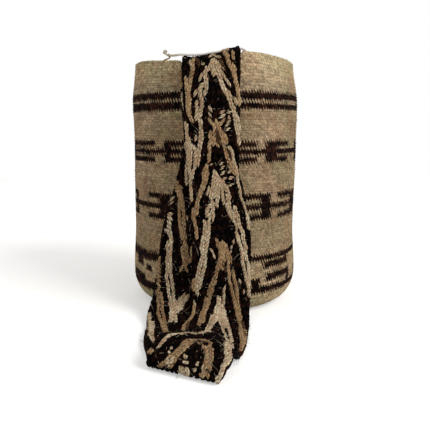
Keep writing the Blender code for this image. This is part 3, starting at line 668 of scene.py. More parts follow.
strap = dict(
    width=0.062, thick=0.0060, edgeThick=0.0034, spread=0.0012, endDrop=0.0032,
    seamClimb=(0.062, 0.032), straightens=(0.047, 0.015), levels=(0.097, 0.015), mouthSag=0.006, rimBend=0.0085,
    floorBend=0.0155, foldReach=0.111, foldSlant=0.50, foldBend=0.0048, coverFall=0.016, foldCarry=0.022,
    buckleRise=0.0075, buckleFoot=0.165, buckleCrest=0.194, touch=0.0003, lay=0.0009, layerLay=0.0016,
    seamYarn=0.0014, hangOff=0.0027, footClear=0.012, flattens=(-0.02, 0.05), foldEases=0.035, buckleEases=0.024,
    leans=0.08, slopeOver=0.003, coverEdge=0.001, coverCarried=(-0.05, -0.09), spreads=(0.0, -0.06), narrows=0.05,
    rimEnds=9, foldEnds=-68, hangGap=0.002,  # degrees at which the bends end, and the gap between bend and leg
    step=0.0035, across=25, crowding=1.445, overMouth=52, overRim=8, roundFold=8,  # its mesh: points across, stations
    core=0.66,  # how thick the dark ground is beneath the strands
    # how far the pull of the hand-made braid shifts an edge to +X, at each height along its leg; the right edges'
    # shifts were worked out with another script from where the photograph shows the edge
    upperRight=((-0.111, 0.0062), (-0.105, 0.0065), (-0.098, 0.0056), (-0.090, 0.0036), (-0.080, 0.001),
                (-0.070, 0.0), (-0.040, 0.0), (-0.020, -0.0015), (0.010, -0.0015), (0.030, 0.0), (0.085, 0.0),
                (0.110, -0.002), (0.120, -0.0034), (0.130, -0.0054), (0.140, -0.0073), (0.150, -0.0094),
                (0.160, -0.0106), (0.170, -0.0105), (0.180, -0.0093), (0.190, -0.0077), (0.200, -0.0066),
                (0.210, -0.0061), (0.220, -0.0054), (0.240, -0.0047), (0.275, -0.0042), (0.290, -0.0042)),
    lowerRight=((-0.111, 0.0015), (-0.100, 0.0008), (-0.085, 0.0), (0.150, 0.0), (0.160, -0.001), (0.170, -0.005),
                (0.180, -0.0067), (0.190, -0.0069), (0.210, -0.006), (0.220, -0.0049), (0.240, -0.0034),
                (0.265, -0.0014), (0.290, -0.001)),
    lowerLeft=((-0.020, 0.0), (-0.014, -0.0005), (-0.006, -0.002), (0.0, -0.003), (0.006, -0.003), (0.012, -0.0015),
               (0.018, 0.0), (0.257, 0.0), (0.263, 0.0034), (0.290, 0.0034)),
)
# how far each leg's middle lies to +X at each height: on the wall above 0, on the floor below it
lowerRoute = (
    (0.270, -0.0062), (0.207, -0.0005), (0.190, 0.0000), (0.165, -0.0040), (0.128, -0.0135), (0.110, -0.0200),
    (0.088, -0.0255), (0.045, -0.0320), (0.010, -0.0370), (-0.027, -0.0372), (-0.063, -0.0345), (-0.087, -0.0308),
    (-0.111, -0.0265))
upperRoute = (
    (0.290, -0.0013), (0.230, 0.0000), (0.180, 0.0035), (0.130, 0.0062), (0.090, 0.0080), (0.045, 0.0075),
    (0.015, 0.0080), (-0.015, 0.0058), (-0.040, 0.0002), (-0.055, -0.0045), (-0.070, -0.0106), (-0.085, -0.0164),
    (-0.098, -0.0216), (-0.111, -0.0265))


def routeAt(route, q):  # a route's middle at q, along a smooth curve through its points
    points = np.array(sorted(route))
    qs, xs = points[:, 0], points[:, 1]
    q = np.clip(q, qs[0], qs[-1])
    k = np.clip(np.searchsorted(qs, q, side="right") - 1, 0, len(qs) - 2)
    before, after = np.maximum(np.arange(len(qs)) - 1, 0), np.minimum(np.arange(len(qs)) + 1, len(qs) - 1)
    slopes = (xs[after] - xs[before]) / (qs[after] - qs[before])
    span = qs[k + 1] - qs[k]
    t = (q - qs[k]) / span
    return ((2 * t**3 - 3 * t**2 + 1) * xs[k] + (t**3 - 2 * t**2 + t) * span * slopes[k]
            + (3 * t**2 - 2 * t**3) * xs[k + 1] + (t**3 - t**2) * span * slopes[k + 1])


def halfWidth(q):  # half the braid's width at q; it spreads a little on the floor
    fold = -strap["foldReach"]
    spread = strap["spread"] * smooth(*strap["spreads"], q) * smooth(fold, fold + strap["narrows"], q)
    return strap["width"] / 2 + spread


def nearRim(depths, q):  # 0 below the first depth under the rim, 1 above the second
    return smooth(bag["height"] - depths[0], bag["height"] - depths[1], q)


def cover(x, q):  # 1 where the lower leg lies under the upper one
    edge = routeAt(lowerRoute, q) + halfWidth(q) + strap["coverEdge"]
    fall = strap["coverFall"] + strap["foldCarry"] * smooth(*strap["coverCarried"], q)
    return 1 - smooth(0.0, 1.0, (x - edge) / fall)


def onSheet(x, q, upper):  # the braid's middle at x across and q along: its height, or below 0 its reach on the floor
    firstLift = strap["touch"] + strap["lay"] + strap["thick"] / 2
    pitch = strap["thick"] + strap["layerLay"]
    lift = firstLift + 0 * x
    if upper:
        lift = lift + pitch * cover(x, q) + (strap["seamYarn"] + 3 * strap["touch"]) * nearRim(strap["seamClimb"], q)
    under = strap["floorBend"] + pitch
    bend = under - lift + firstLift
    floor = lift - strap["lay"] + strap["touch"]
    turnStart = floor + bend
    unlifted = q - liftShare(q) * rimDrop(np.arcsin(x / (bag["belly"] + strap["hangOff"])))
    rho = wallRadius(np.maximum(unlifted, bag["cornerHeight"] + strap["footClear"])) + lift
    curve = smooth(*strap["flattens"], q)
    a = np.clip((turnStart - q) / under, 0.0, math.pi / 2)
    y = bend * (1 - np.cos(a)) + np.maximum(turnStart - q - under * math.pi / 2, 0.0)
    z = np.where(q >= turnStart, q, floor + bend * (1 - np.sin(a)))
    y = y + curve * np.sqrt(rho * rho - x * x) + (1 - curve) * rho
    slant = smooth(strap["flattens"][0], -strap["foldReach"], q) * strap["foldSlant"]
    y = y + slant * (x - routeAt(lowerRoute, -strap["foldReach"]))
    return np.stack([x, -y, z], axis=-1)


def legStation(q, upper, across):  # the points across one leg at q, leaning with its route
    route, reach, near = (upperRoute if upper else lowerRoute), strap["foldReach"], strap["slopeOver"]
    tilt = math.atan((routeAt(route, q + near) - routeAt(route, q - near)) / (2 * near))
    tilt *= smooth(-reach, -reach + strap["leans"], q) * (1 - nearRim(strap["straightens"], q))
    half = halfWidth(q)
    x = routeAt(route, q) + across * half * math.cos(tilt)
    x = x + np.maximum(across, 0) * np.interp(q, *np.array(strap["upperRight" if upper else "lowerRight"]).T)
    if not upper:
        x = x - np.minimum(across, 0) * np.interp(q, *np.array(strap["lowerLeft"]).T)
    along = q - across * half * math.sin(tilt)
    along = along + nearRim(strap["levels"], q) * (rimDrop(np.arcsin(x / bag["mouth"])) - rimDrop(0.0))
    points = onSheet(x, along, upper)
    if upper:
        pitch = strap["thick"] + strap["layerLay"]
        points[:, 2] += (2 * strap["foldBend"] - pitch) * smooth(-reach + strap["foldEases"], -reach, q)
        hump = strap["buckleRise"] * smooth(strap["buckleFoot"], strap["buckleCrest"], -points[:, 1])
        points[:, 2] += hump * (1 - smooth(-reach + strap["buckleEases"], -reach, q)) * cover(x, q)
    return points


def strapStations():  # the braid's middle layer from the back rim to the sewn end at the front, and the way along it
    across = np.sin(np.linspace(-1, 1, strap["across"]) * strap["crowding"]) / math.sin(strap["crowding"])
    top = bag["height"] + rimDrop(0.0) + strap["touch"] + strap["seamYarn"] + strap["thick"] / 2 + strap["lay"]
    hang = legStation(top - strap["rimBend"], True, across)

    def overRim(turn):
        return hang + strap["rimBend"] * np.array((0.0, 1 - math.cos(turn), math.sin(turn)))

    backY = wallRadius(bag["height"] - bag["wall"])
    backZ = bag["height"] + rimDrop(math.pi) + strap["touch"] + strap["lay"] + strap["thick"] / 2
    x = across * strap["width"] / 2
    back = np.stack([x, np.sqrt(backY**2 - x * x), np.full(len(x), backZ)], axis=-1)
    stations = []
    for share in np.linspace(0, 1, strap["overMouth"])[:-1]:
        sag = np.array((0.0, 0.0, strap["mouthSag"] * math.sin(math.pi * share) ** 1.5))
        stations.append(back + (overRim(math.pi / 2) - back) * share - sag)
    stations += [overRim(math.radians(a)) for a in np.linspace(90, strap["rimEnds"], strap["overRim"])]
    low, reach = top - strap["rimBend"] - strap["hangGap"], strap["foldReach"]
    count = int((low + reach) / strap["step"])
    stations += [legStation(q, True, across) for q in np.linspace(low, -reach, count)[:-1]]
    flat = legStation(-reach, False, across)
    lean = np.outer(np.maximum(across, 0) * (strap["upperRight"][0][1] - strap["lowerRight"][0][1]), (1, 0, 0))
    for a in np.radians(np.linspace(90, strap["foldEnds"], strap["roundFold"])):
        rise = 1 + math.sin(a)
        stations.append(flat + lean * rise / 2 + strap["foldBend"] * np.array((0.0, -math.cos(a), rise)))
    end = bag["height"] + rimDrop(0.0) - strap["endDrop"]
    stations += [legStation(q, False, across) for q in np.linspace(-reach, end, int((end + reach) / strap["step"]))]
    grid = np.array(stations)
    return across, wayAlong(grid[:, strap["across"] // 2]), grid


across, way, sheetGrid = strapStations()
alongGrid, overGrid = np.gradient(sheetGrid, axis=0), np.gradient(sheetGrid, axis=1)
normalGrid = np.cross(overGrid, -alongGrid)
normalGrid /= np.linalg.norm(normalGrid, axis=2, keepdims=True)
relax(normalGrid)
normalGrid /= np.linalg.norm(normalGrid, axis=2, keepdims=True)
print("strap length", round(way[-1], 4))


def sheetPoint(x, s):  # place, direction along, direction across and outward normal of the braid at x, s in metres
    i = np.clip(np.interp(s, way, np.arange(len(way))), 0, len(way) - 1.001)
    j = np.clip(np.interp(x / (strap["width"] / 2), across, np.arange(len(across))), 0, len(across) - 1.001)
    i0, j0 = i.astype(int), j.astype(int)
    a, b = (i - i0)[:, None], (j - j0)[:, None]
    found = []
    for grid in (sheetGrid, alongGrid, overGrid, normalGrid):
        found.append((1 - a) * ((1 - b) * grid[i0, j0] + b * grid[i0, j0 + 1])
                     + a * ((1 - b) * grid[i0 + 1, j0] + b * grid[i0 + 1, j0 + 1]))
    place, along, over, normal = found
    return place, *(v / np.linalg.norm(v, axis=1, keepdims=True) for v in (along, over, normal))


def halfThick(w):  # half the braid's thickness at w across, from -1 to 1: even, and rounded at its edges
    edge = np.sqrt(np.maximum(1 - np.abs(w) ** 5, 0))
    return (strap["edgeThick"] + (strap["thick"] - strap["edgeThick"]) * edge) / 2 * (edge > 0.001)


def makeStrapCore():  # the dark ground of the braid, closed all round, a little thinner than the whole braid
    thin = normalGrid * (halfThick(across) * strap["core"])[None, :, None]
    ring = np.concatenate([sheetGrid + thin, (sheetGrid - thin)[:, -2:0:-1]], axis=1)
    rows, count, n = *ring.shape[:2], strap["across"]
    caps, tips = [], []
    for start, flip in ((0, -1), ((rows - 1) * count, 1)):
        for j in range(1, n - 2):
            caps.append([start + j, start + j + 1, start + count - j - 1, start + count - j][::flip])
        tips += [[start, start + 1, start + count - 1][::flip], [start + n - 2, start + n - 1, start + n][::flip]]
    piece = addPiece("strap_core", ring.reshape(-1, 3), [tubeFaces(rows, count), caps, tips], [blackWool])
    work = bmesh.new()
    work.from_mesh(piece.data)
    bmesh.ops.recalc_face_normals(work, faces=work.faces)
    work.to_mesh(piece.data)
    work.free()
    handOver(piece, "strap")


makeStrapCore()


# sewing yarn, whipped through both ends of the strap and over the bag's rim

seams = dict(yarn=0.0014, stitches=9, bite=0.008, frontInset=0.010, rearInset=0.005, relief=0.0004,
             step=0.0008, plyPitch=0.0034)


def frontSeam():  # up the outside of the lower leg's end, over the rim and down the inside, and back with the next
    off = seams["yarn"] / 2 + strap["touch"]
    over = strap["thick"] / 2 + seams["relief"] + off + 2 * strap["touch"]
    middle = routeAt(lowerRoute, bag["height"])
    mouth = wallRadius(bag["height"] - bag["wall"] / 2) - bag["wall"] / 2
    points = []
    for k in range(seams["stitches"] + 1):
        x = middle + (k / seams["stitches"] - 0.5) * (strap["width"] - 2 * seams["frontInset"])
        top = bag["height"] + rimDrop(math.asin(x / bag["mouth"]))
        run = []
        for depth in (seams["bite"] + strap["endDrop"], strap["endDrop"] + strap["touch"]):
            low, high = (onSheet(np.array([x]), top - depth + d, False)[0] for d in (-strap["touch"], strap["touch"]))
            slope = (math.hypot(*high[:2]) - math.hypot(*low[:2])) / (2 * strap["touch"])
            run.append((math.hypot(*low[:2]) + over * math.hypot(1.0, slope), top - depth))
        run.append((run[-1][0] - 2 * strap["touch"], top - strap["endDrop"] + off + 2 * strap["touch"]))
        reach = bag["wall"] / 2 + off + 2 * strap["touch"]
        for turn in (50, 95, 140):
            turn = math.radians(turn)
            run.append((mouth + reach * math.cos(turn), top - bag["wall"] / 2 + reach * math.sin(turn)))
        for depth in (0.004, seams["bite"]):
            inside = wallRadius(bag["height"] - depth) - bag["wall"] - off - 2 * strap["touch"]
            run.append((inside, top - depth))
        points += [(x, -math.sqrt(r * r - x * x), z) for r, z in (run[::-1] if k % 2 else run)]
    return points


def rearSeam():  # over the strap's end and the back rim, down the outside of the wall
    off = seams["yarn"] / 2 + strap["touch"]
    wall = wallRadius(bag["height"] - bag["wall"])
    rise = bag["height"] + rimDrop(math.pi) + strap["touch"] + strap["lay"] + strap["thick"] + seams["relief"]
    low = wallRadius(bag["height"] - 1.5 * seams["bite"]) + off + strap["touch"]
    points = []
    for k in range(seams["stitches"] + 1):
        x = (k / seams["stitches"] - 0.5) * (strap["width"] - 2 * seams["rearInset"])
        run = [(wall - seams["bite"], rise + off + strap["touch"]),
               (wall - seams["yarn"] / 2, rise + off + strap["touch"]),
               (wall + off + strap["touch"], rise - strap["touch"]),
               (wall + off + strap["touch"], rise - strap["thick"]), (low, bag["height"] - 1.25 * seams["bite"])]
        points += [(x, math.sqrt(r * r - x * x), z) for r, z in (run[::-1] if k % 2 else run)]
    return points


def makeSeams():
    for name, node, route in (("front_seam_stitches", "front_seam_yarn", frontSeam()),
                              ("rear_seam_stitches", "rear_seam_yarn", rearSeam())):
        route = np.array(route)
        length = wayAlong(route)
        line = spaced(route, length, np.linspace(0, length[-1], round(length[-1] / seams["step"])))
        relax(line)
        piece = pliedYarn(name, line, seams["yarn"], seamWool, seams["plyPitch"], sides=6)
        handOver(piece, node)


makeSeams()

# the coloured strands of the braid by wool, each as its girth and then x, s, x, s, ... along it, in millimetres
# the points were picked by eye on the photograph, and another script carried them to the strap's own x and s
strands = dict(
    cream=(
        (3.2, -22, 197, -21.5, 203), (4, -5.5, 205, -7.5, 212, -6.5, 225, -10, 232),
        (4.4, -10, 221, -13.5, 226, -11, 240, -15, 253), (3.4, -16, 226, -18.5, 232), (4, -16.5, 236, -18, 255),
        (4.8, -14.5, 255, -14, 264, -16.5, 280), (3, -19, 271, -21.5, 276), (3.2, -10.5, 211, -14, 218),
        (2.6, -11.5, 202, -8.5, 202), (4.4, 0, 199, -3, 205, -5.5, 206), (4.4, 0.5, 200, -1, 209, 0.5, 215),
        (4.4, 1, 200, 3, 209, 13, 234, 16.5, 238, 22, 252, 24.5, 262, 24, 266, 29.5, 284),
        (3.8, 3, 201, 7, 211, 12.5, 219), (3.4, 15.5, 233, 20, 240), (2.8, 6.5, 203, 10.5, 211),
        (3, 13.5, 221, 18, 229), (3.4, 22, 240, 24.5, 243, 24.5, 247), (2.8, 25, 256, 29, 263),
        (3.4, 28, 265, 29.5, 273), (2.8, -3.5, 198, -2.5, 195, 0.5, 195, 4.5, 197, 6, 200), (3, -5.5, 243, -2.5, 249),
        (2.2, -6, 249, -3, 255), (3, 6, 252, 12, 250), (3, 5.5, 257, 8, 255, 11, 255), (2.6, 15.5, 253, 19, 253),
        (3.2, 16, 256, 16.5, 260), (2.6, 14.5, 262, 18, 261), (2.6, 12.5, 265, 16.5, 264),
        (2.6, 12.5, 269, 16.5, 268), (4.4, -29.5, 257, -28.5, 280), (3.6, -29, 262, -26.5, 279),
        (4.2, -15.5, 276, -21, 302), (4.2, -24.5, 280, -21.5, 287, -26, 315),
        (4, -28, 910, -24, 897, -21.5, 872, -18, 863),
        (3.8, 14.5, 286, 18, 287, 20.5, 290, 22, 300, 25.5, 305, 26.5, 310, 25, 341, 29, 359, 29.5, 372),
        (4.2, -3.5, 308, -10, 337), (4, -3, 310, -3, 321, -6, 335), (4, -2.5, 311, -0.5, 321, -4, 345),
        (4, -1.5, 314, 3, 324, 3, 339, 4.5, 342), (4.2, 2.5, 317, 8.5, 328, 10, 348),
        (3.6, 8, 323, 10.5, 328, 11.5, 338), (4, -8, 339, -8.5, 349, -12.5, 356), (4, -10, 342, -13.5, 346, -14, 354),
        (4.2, -17, 358, -17.5, 379), (4.2, -12.5, 358, -14.5, 379), (2.2, -7, 352, -9, 359),
        (4.4, 8, 342, 9, 353, 13, 363, 16, 380), (4.4, 14, 345, 18, 365, 22, 375, 21.5, 380),
        (3.6, 11.5, 349, 13.5, 358), (3, 2.5, 302, 8, 300), (3, 3.5, 307, 8.5, 304), (3, 3, 313, 8, 309),
        (3, 4.5, 317, 10, 316), (2.8, 13.5, 311, 17.5, 309), (3.6, 14.5, 317, 19.5, 316), (2.8, 13, 324, 19, 323),
        (2, -8.5, 302, -5.5, 301), (2, -10.5, 324, -12.5, 332), (4.2, -27.5, 828, -24.5, 825, -24, 817, -18.5, 803),
        (3.6, -25, 812, -23.5, 808, -20.5, 806), (2, -29.5, 843, -27, 834), (2.2, -7.5, 831, -6.5, 826),
        (4.2, -19, 803, -22, 793, -19.5, 788, -20, 777, -17.5, 772, -17.5, 760, -6.5, 724, -7, 713),
        (4.2, -18, 803, -17, 782, -15, 778, -14.5, 768, -7.5, 745, -2, 712), (4.4, -1.5, 725, -1, 732, 4.5, 748),
        (4.2, 1, 728, 7.5, 748), (4.2, -6.5, 737, -3.5, 736, -1.5, 730, -3, 723),
        (4.2, -18.5, 375, -20.5, 388, -19.5, 394, -25, 423, -25.5, 438), (4.2, -15, 375, -18, 411, -24, 432),
        (2.4, -28.5, 446, -28, 454), (3.2, 1.5, 430, 0.5, 451), (4.2, -5, 440, -9, 483, -1.5, 549),
        (4.2, -3.5, 442, -6, 486, -3.5, 515, 0, 534), (4.2, -0.5, 452, -2, 480, 1.5, 492, 14, 521),
        (4.2, 2, 457, 18, 520), (3.8, -1.5, 459, 7, 492), (4.2, 15.5, 377, 19.5, 389, 23, 413, 29.5, 439, 29.5, 445),
        (4, 21, 379, 24, 390, 23.5, 396, 27, 407, 29.5, 431), (2.8, 11.5, 381, 10.5, 385), (2.8, 9, 387, 7.5, 390),
        (2.4, 8.5, 392, 7, 395), (2.4, -11.5, 389, -8, 399), (2.8, 18, 424, 19.5, 429), (2.2, 23.5, 437, 22.5, 441),
        (3.8, -29, 720, -23, 663, -17.5, 640), (3.8, -26, 709, -24, 698, -23.5, 671),
        (3.8, -3.5, 515, -4.5, 525, -1, 547, -4.5, 550, -10.5, 551, -21, 562, -23, 571, -23, 583),
        (3.4, -22.5, 564, -22.5, 575), (3.4, 0.5, 584, 3.5, 589), (2.6, 1.5, 591, 3, 592), (2.6, 5, 591, 4, 592),
        (4, 1, 593, 0.5, 596, 3, 598), (4, 4, 594, 6.5, 598), (3.6, -1, 597, 7.5, 600), (3.6, 11, 592, 13, 590),
        (3.2, 11, 593, 10, 596), (4.2, 14, 522, 28.5, 585, 29, 594, 27, 599), (4.2, 18.5, 522, 29, 578, 29, 597),
        (2.6, -13, 579, -13, 581), (2.4, -12.5, 584, -11.5, 587), (4.2, -7.5, 727, -6.5, 714, -8, 707),
        (4.2, -4.5, 725, -2, 712, -1, 707), (4.2, -2, 728, -2.5, 734, 0.5, 741), (4.2, -4.5, 441, -3.5, 478),
        (4.2, -8, 460, -5.5, 499), (4.2, 0, 456, 4.5, 487), (4.4, 3, 209, 1.5, 200), (4.2, -2, 202, -4, 209),
        (4, -29.5, 277, -29, 288, -29.5, 296, -29.5, 304, -29.5, 314, -30, 326, -30, 338),
        (4, -27, 277, -26.5, 288, -27.5, 295, -28, 302), (4.2, -9.5, 590, -11, 593, -12.5, 595),
        (4.2, -6, 590, -8, 593, -10, 596), (4.2, 1.5, 593, 2, 596, 3.5, 599), (4.2, 4.5, 593, 5.5, 596, 7, 599),
        (3.6, 16, 591, 16.5, 594, 17, 598), (4, 28.6, 588, 28.7, 603, 28.7, 618),),
    tan=(
        (4.2, -19, 195, -19.5, 205, -24, 226, -24, 249), (4, -26.5, 214, -25.5, 247, -22.5, 257),
        (4.4, 12, 191, 17, 207, 22, 217), (3.6, 17, 192, 17, 203),
        (4.2, 21.5, 209, 24, 214, 24.5, 225, 28.5, 239, 29.5, 249), (3, 20.5, 215, 24.5, 226),
        (3, -5.5, 256, -2.5, 263), (3, 0.5, 257, 1, 264), (3, 10.5, 258, 5, 264), (4, -3.5, 259, 0, 266),
        (4, 5, 260, 2, 266), (4, -0.5, 265, -3.5, 267, -5.5, 271, -6, 281), (4, 3, 265, 12, 277, 13, 282),
        (3.4, -2, 268, -2, 278), (3.4, 5, 268, 8, 279), (3.6, -29.5, 983, -29.5, 973, -26, 968),
        (4, -6, 277, -10.5, 299), (4, -1.5, 277, -4, 283), (3.2, -0.5, 280, 2.5, 285),
        (4.2, -11, 301, -15, 311, -15, 316, -24, 343, -25.5, 352), (3.8, -11.5, 305, -12.5, 315, -18.5, 331),
        (4.2, -22.5, 342, -24, 352), (4.2, -26.5, 345, -28, 354, -25.5, 370, -26, 378),
        (4, 7.5, 278, 17, 306, 24, 314), (3.4, 17.5, 298, 24, 311), (4, -29.5, 863, -7, 806),
        (4, -26, 860, -11.5, 830, -4.5, 807), (3.8, -28.5, 781, -28, 767, -24.5, 747, -25, 741, -16.5, 710, -12, 681),
        (3.6, -22, 743, -13.5, 715, -9, 677), (4.6, -26.5, 421, -29.5, 432), (3.6, -29.5, 422, -29.5, 433),
        (3.6, -29.5, 456, -29.5, 495, -27.5, 509), (4.2, -29.5, 500, -29.5, 510, -25, 530),
        (4.2, -1.5, 382, -2, 398, -7, 419, -11, 427, -15.5, 443, -20, 477, -15.5, 512),
        (3.8, -7, 423, -13, 441, -17.5, 470, -14, 503), (3.8, 0, 383, -1, 411),
        (4.2, 1, 386, 4.5, 398, 7, 422, 20, 473, 29, 519), (3.4, 3, 389, 7.5, 400, 7.5, 406),
        (4, 11, 413, 15.5, 436, 16, 446, 22, 472), (3.2, -6.5, 378, -4, 388),
        (4.4, -3.5, 567, -5.5, 570, -6, 579, -9.5, 590, -12.5, 594, -20, 597), (4.2, 0, 568, -5, 592, -9, 596),
        (3.8, -1.5, 571, -4, 579), (3.8, -2.5, 587, -8.5, 593),
        (4.2, -4, 566, 0.5, 565, 6.5, 560, 10.5, 562, 13.5, 566), (3.8, 3.5, 568, 7, 568, 12.5, 573),
        (4.2, 13.5, 567, 13, 573, 16.5, 585, 18, 598), (4.2, 15.5, 570, 20, 588, 20, 598),
        (3.6, 15.5, 595, 15.5, 598), (4.2, 22.5, 489, 29.5, 531), (4.2, 26.5, 490, 28.5, 501, 29.5, 532),
        (4.2, -29.5, 587, -24, 590), (3.6, -29.5, 589, -28, 591), (4.2, -7.5, 812, -5, 805, -3, 799),
        (3.6, 6.5, 807, 6, 800), (4.2, -5.5, 798, -4.5, 789, -1.5, 781), (4.4, -2, 801, 0.5, 790, 1, 779),
        (4.2, 3.5, 800, 5.5, 791, 4, 783), (3.4, -1, 782, -2, 778, -4.5, 771), (3.4, 0, 783, 0.5, 777, 3, 772),
        (4.2, -2, 383, -2.5, 399), (4.4, 0.5, 381, 0.5, 403), (4.2, 3, 385, 3.5, 400), (3.2, 21.5, 197, 23, 205),
        (3.4, -30.5, 983, -31, 981, -30, 975, -29.5, 971, -28, 966),),
    brown=(
        (4, 1.5, 267, 1, 277, 2.5, 282), (3, 15.5, 289, 18, 298), (3.6, -29.5, 496, -23, 526),
        (3.8, 23, 473, 29.5, 504), (3.6, 11, 755, 10, 762, 11, 768), (3.6, 0, 403, 1, 413), (3.6, -1, 268, -0.5, 276),
        (3.4, -15.5, 196, -13.5, 203), (3.2, 8.5, 201, 11.5, 213),),
)
braid = dict(
    rise=4.2, columnPitch=0.0042, floatPitch=0.0043, floatLength=0.0076, floatWidth=0.0043, floatThick=0.0025,
    sizeSpread=0.12, plyTurns=0.75, slant=math.radians(17), edge=0.0287, ends=0.002, seed=7, sizeSeed=3,
    calmFrom=0.022, calm=0.85,  # towards the braid's edges its floats lie along it
    loose=dict(across=0.0003, strand=0.09, ground=0.1, edge=0.08),  # how unevenly it lies: metres, then radians
    groundGirth=(0.85, 1.1), sunk=0.16, raised=0.12,  # how high a float's middle lies, in its thicknesses
    upperShift={"cream": -0.42, "tan": 0.3}, upperFade=(0.30, 0.42),  # toward one shade high on the strap
    pressed={"front": (0.655, 0.96), "back": (0.225, 0.590)}, pressedTo=0.0235,  # what lies hidden on wall or leg
    shown=(190, 604),  # way along where the front begins to show and where the fold begins, in mm
    rules=(("cream", (60, 604, 712, 838)), ("tan", (112, 650, 775, 895)), ("brown", (2, 560, 940))),
    ruleGirth=4.1, ruleStep=1.2, ruleEnds=(2, 980),
)
lowerShown = ((606, -31), (640, -26), (676, -18), (690, -1), (732, 12), (774, 6), (802, 2), (830, -6), (858, -17),
              (886, -25), (914, -31), (984, -31))  # the lower leg shows in front left of these: way along, x, in mm


def ruleStrands():  # chevrons by rule where the front doesn't show: over the mouth, in the fold, behind the upper leg
    found = []
    start, end = braid["ruleEnds"]
    for wool, tip in ((wool, tip) for wool, tips in braid["rules"] for tip in tips):
        for side in (-1, 1):
            for offset in (0.0, braid["columnPitch"] * 1000):
                x = np.arange(offset * 0.4, 29.6, braid["ruleStep"])
                s = tip + braid["rise"] * x + offset * 1.6
                hidden = (s > start) & (s < end) & ((s < braid["shown"][0]) | (s > braid["shown"][1]))
                hidden &= side * x > np.interp(s, *np.array(lowerShown).T) + 2
                if np.count_nonzero(hidden) > 2:
                    found.append((wool, braid["ruleGirth"], np.stack([side * x, s], 1)[hidden]))
    return found


def shows(x, s, face):  # a face pressed on the wall or on the other leg needs its floats only along its edges
    low, high = braid["pressed"][face]
    return ~((s > low) & (s < high) & (np.abs(x) < braid["pressedTo"]))


def allStrands():
    found = [(wool, rows[0], np.array(rows[1:]).reshape(-1, 2)) for wool in strands for rows in strands[wool]]
    return found + ruleStrands()


def calmEdge(x, turn):
    return turn * (1 - braid["calm"] * smooth(braid["calmFrom"], braid["edge"], np.abs(x)))


def layFloats():  # where each float lies: per wool rows of x, s, turn, girth and length in those of a float, height
    random = np.random.default_rng(braid["seed"])
    placed = {"cream": [], "tan": [], "brown": [], "black": []}
    taken, loose = [], braid["loose"]
    pitch, step, edge, ends = braid["columnPitch"], braid["floatPitch"], braid["edge"], braid["ends"]
    for k, (wool, girth, route) in enumerate(allStrands()):
        route = route / 1000
        length = wayAlong(route)
        long = length[-1]
        inset = min(0.3 * braid["floatLength"], 0.35 * long)
        count = max(1, round((long - 2 * inset) / step) + 1)
        at = np.linspace(inset, long - inset, count) if count > 1 else np.array([long / 2])
        ahead, behind = np.minimum(at + 0.004, long), np.maximum(at - 0.004, 0)
        (x, s), (x1, s1), (x0, s0) = (
            [np.interp(v, length, route[:, j]) for j in (0, 1)] for v in (at, ahead, behind))
        lean = braid["slant"] * (1 if k % 2 else -1) * (long > 0.012)
        x = np.clip(x + random.normal(0, loose["across"], count), -edge, edge)
        turn = calmEdge(x, np.arctan2(x1 - x0, s1 - s0) + lean + random.normal(0, loose["strand"], count))
        share, reach = girth / 1000 / braid["floatWidth"], min(1.0, (long + 0.0015) / braid["floatLength"])
        rows = np.stack(np.broadcast_arrays(x, s, turn, share, 1.0, reach), 1)
        placed[wool].append(rows[(s > ends) & (s < way[-1] - ends)])
        taken.append(placed[wool][-1][:, :2])
    taken = np.concatenate(taken)
    # the black ground follows the same chevrons and fills what the coloured strands leave
    slope = math.atan(1 / braid["rise"])
    for column, tip in enumerate(np.arange(-0.14, way[-1], pitch * braid["rise"])):
        for side in (-1, 1):
            at = np.arange(0.0, 0.14, step)
            x, s = side * at * math.sin(slope), tip + at * math.cos(slope)
            inside = (np.abs(x) < edge) & (s > ends) & (s < way[-1] - ends)
            x, s = x[inside], s[inside]
            gap = np.abs(taken[None] - np.stack([x, s], 1)[:, None])
            free = ~np.any((gap[..., 0] < pitch * 0.5) & (gap[..., 1] < step * 0.75), axis=1)
            lean = braid["slant"] * (1 if column % 2 else -1) * side
            turn = calmEdge(x, side * slope + lean + random.normal(0, loose["ground"], len(x)))
            girth = random.uniform(*braid["groundGirth"], len(x))
            placed["black"].append(np.stack(np.broadcast_arrays(x, s, turn, girth, 0.0, 1.0), 1)[free])
    for side in (-1, 1):  # a black column down each edge binds the braid
        s = np.arange(0.004, way[-1] - 0.004, step)
        gap = np.abs(taken[None] - np.stack(np.broadcast_arrays(side * edge, s), 1)[:, None])
        s = s[~np.any((gap[..., 0] < 0.003) & (gap[..., 1] < 0.004), axis=1)]
        turn = random.normal(0, loose["edge"], len(s))
        placed["black"].append(np.stack(np.broadcast_arrays(side * edge, s, turn, 1.0, 0.0, 1.0), 1))
    return {wool: np.concatenate(rows) for wool, rows in placed.items()}


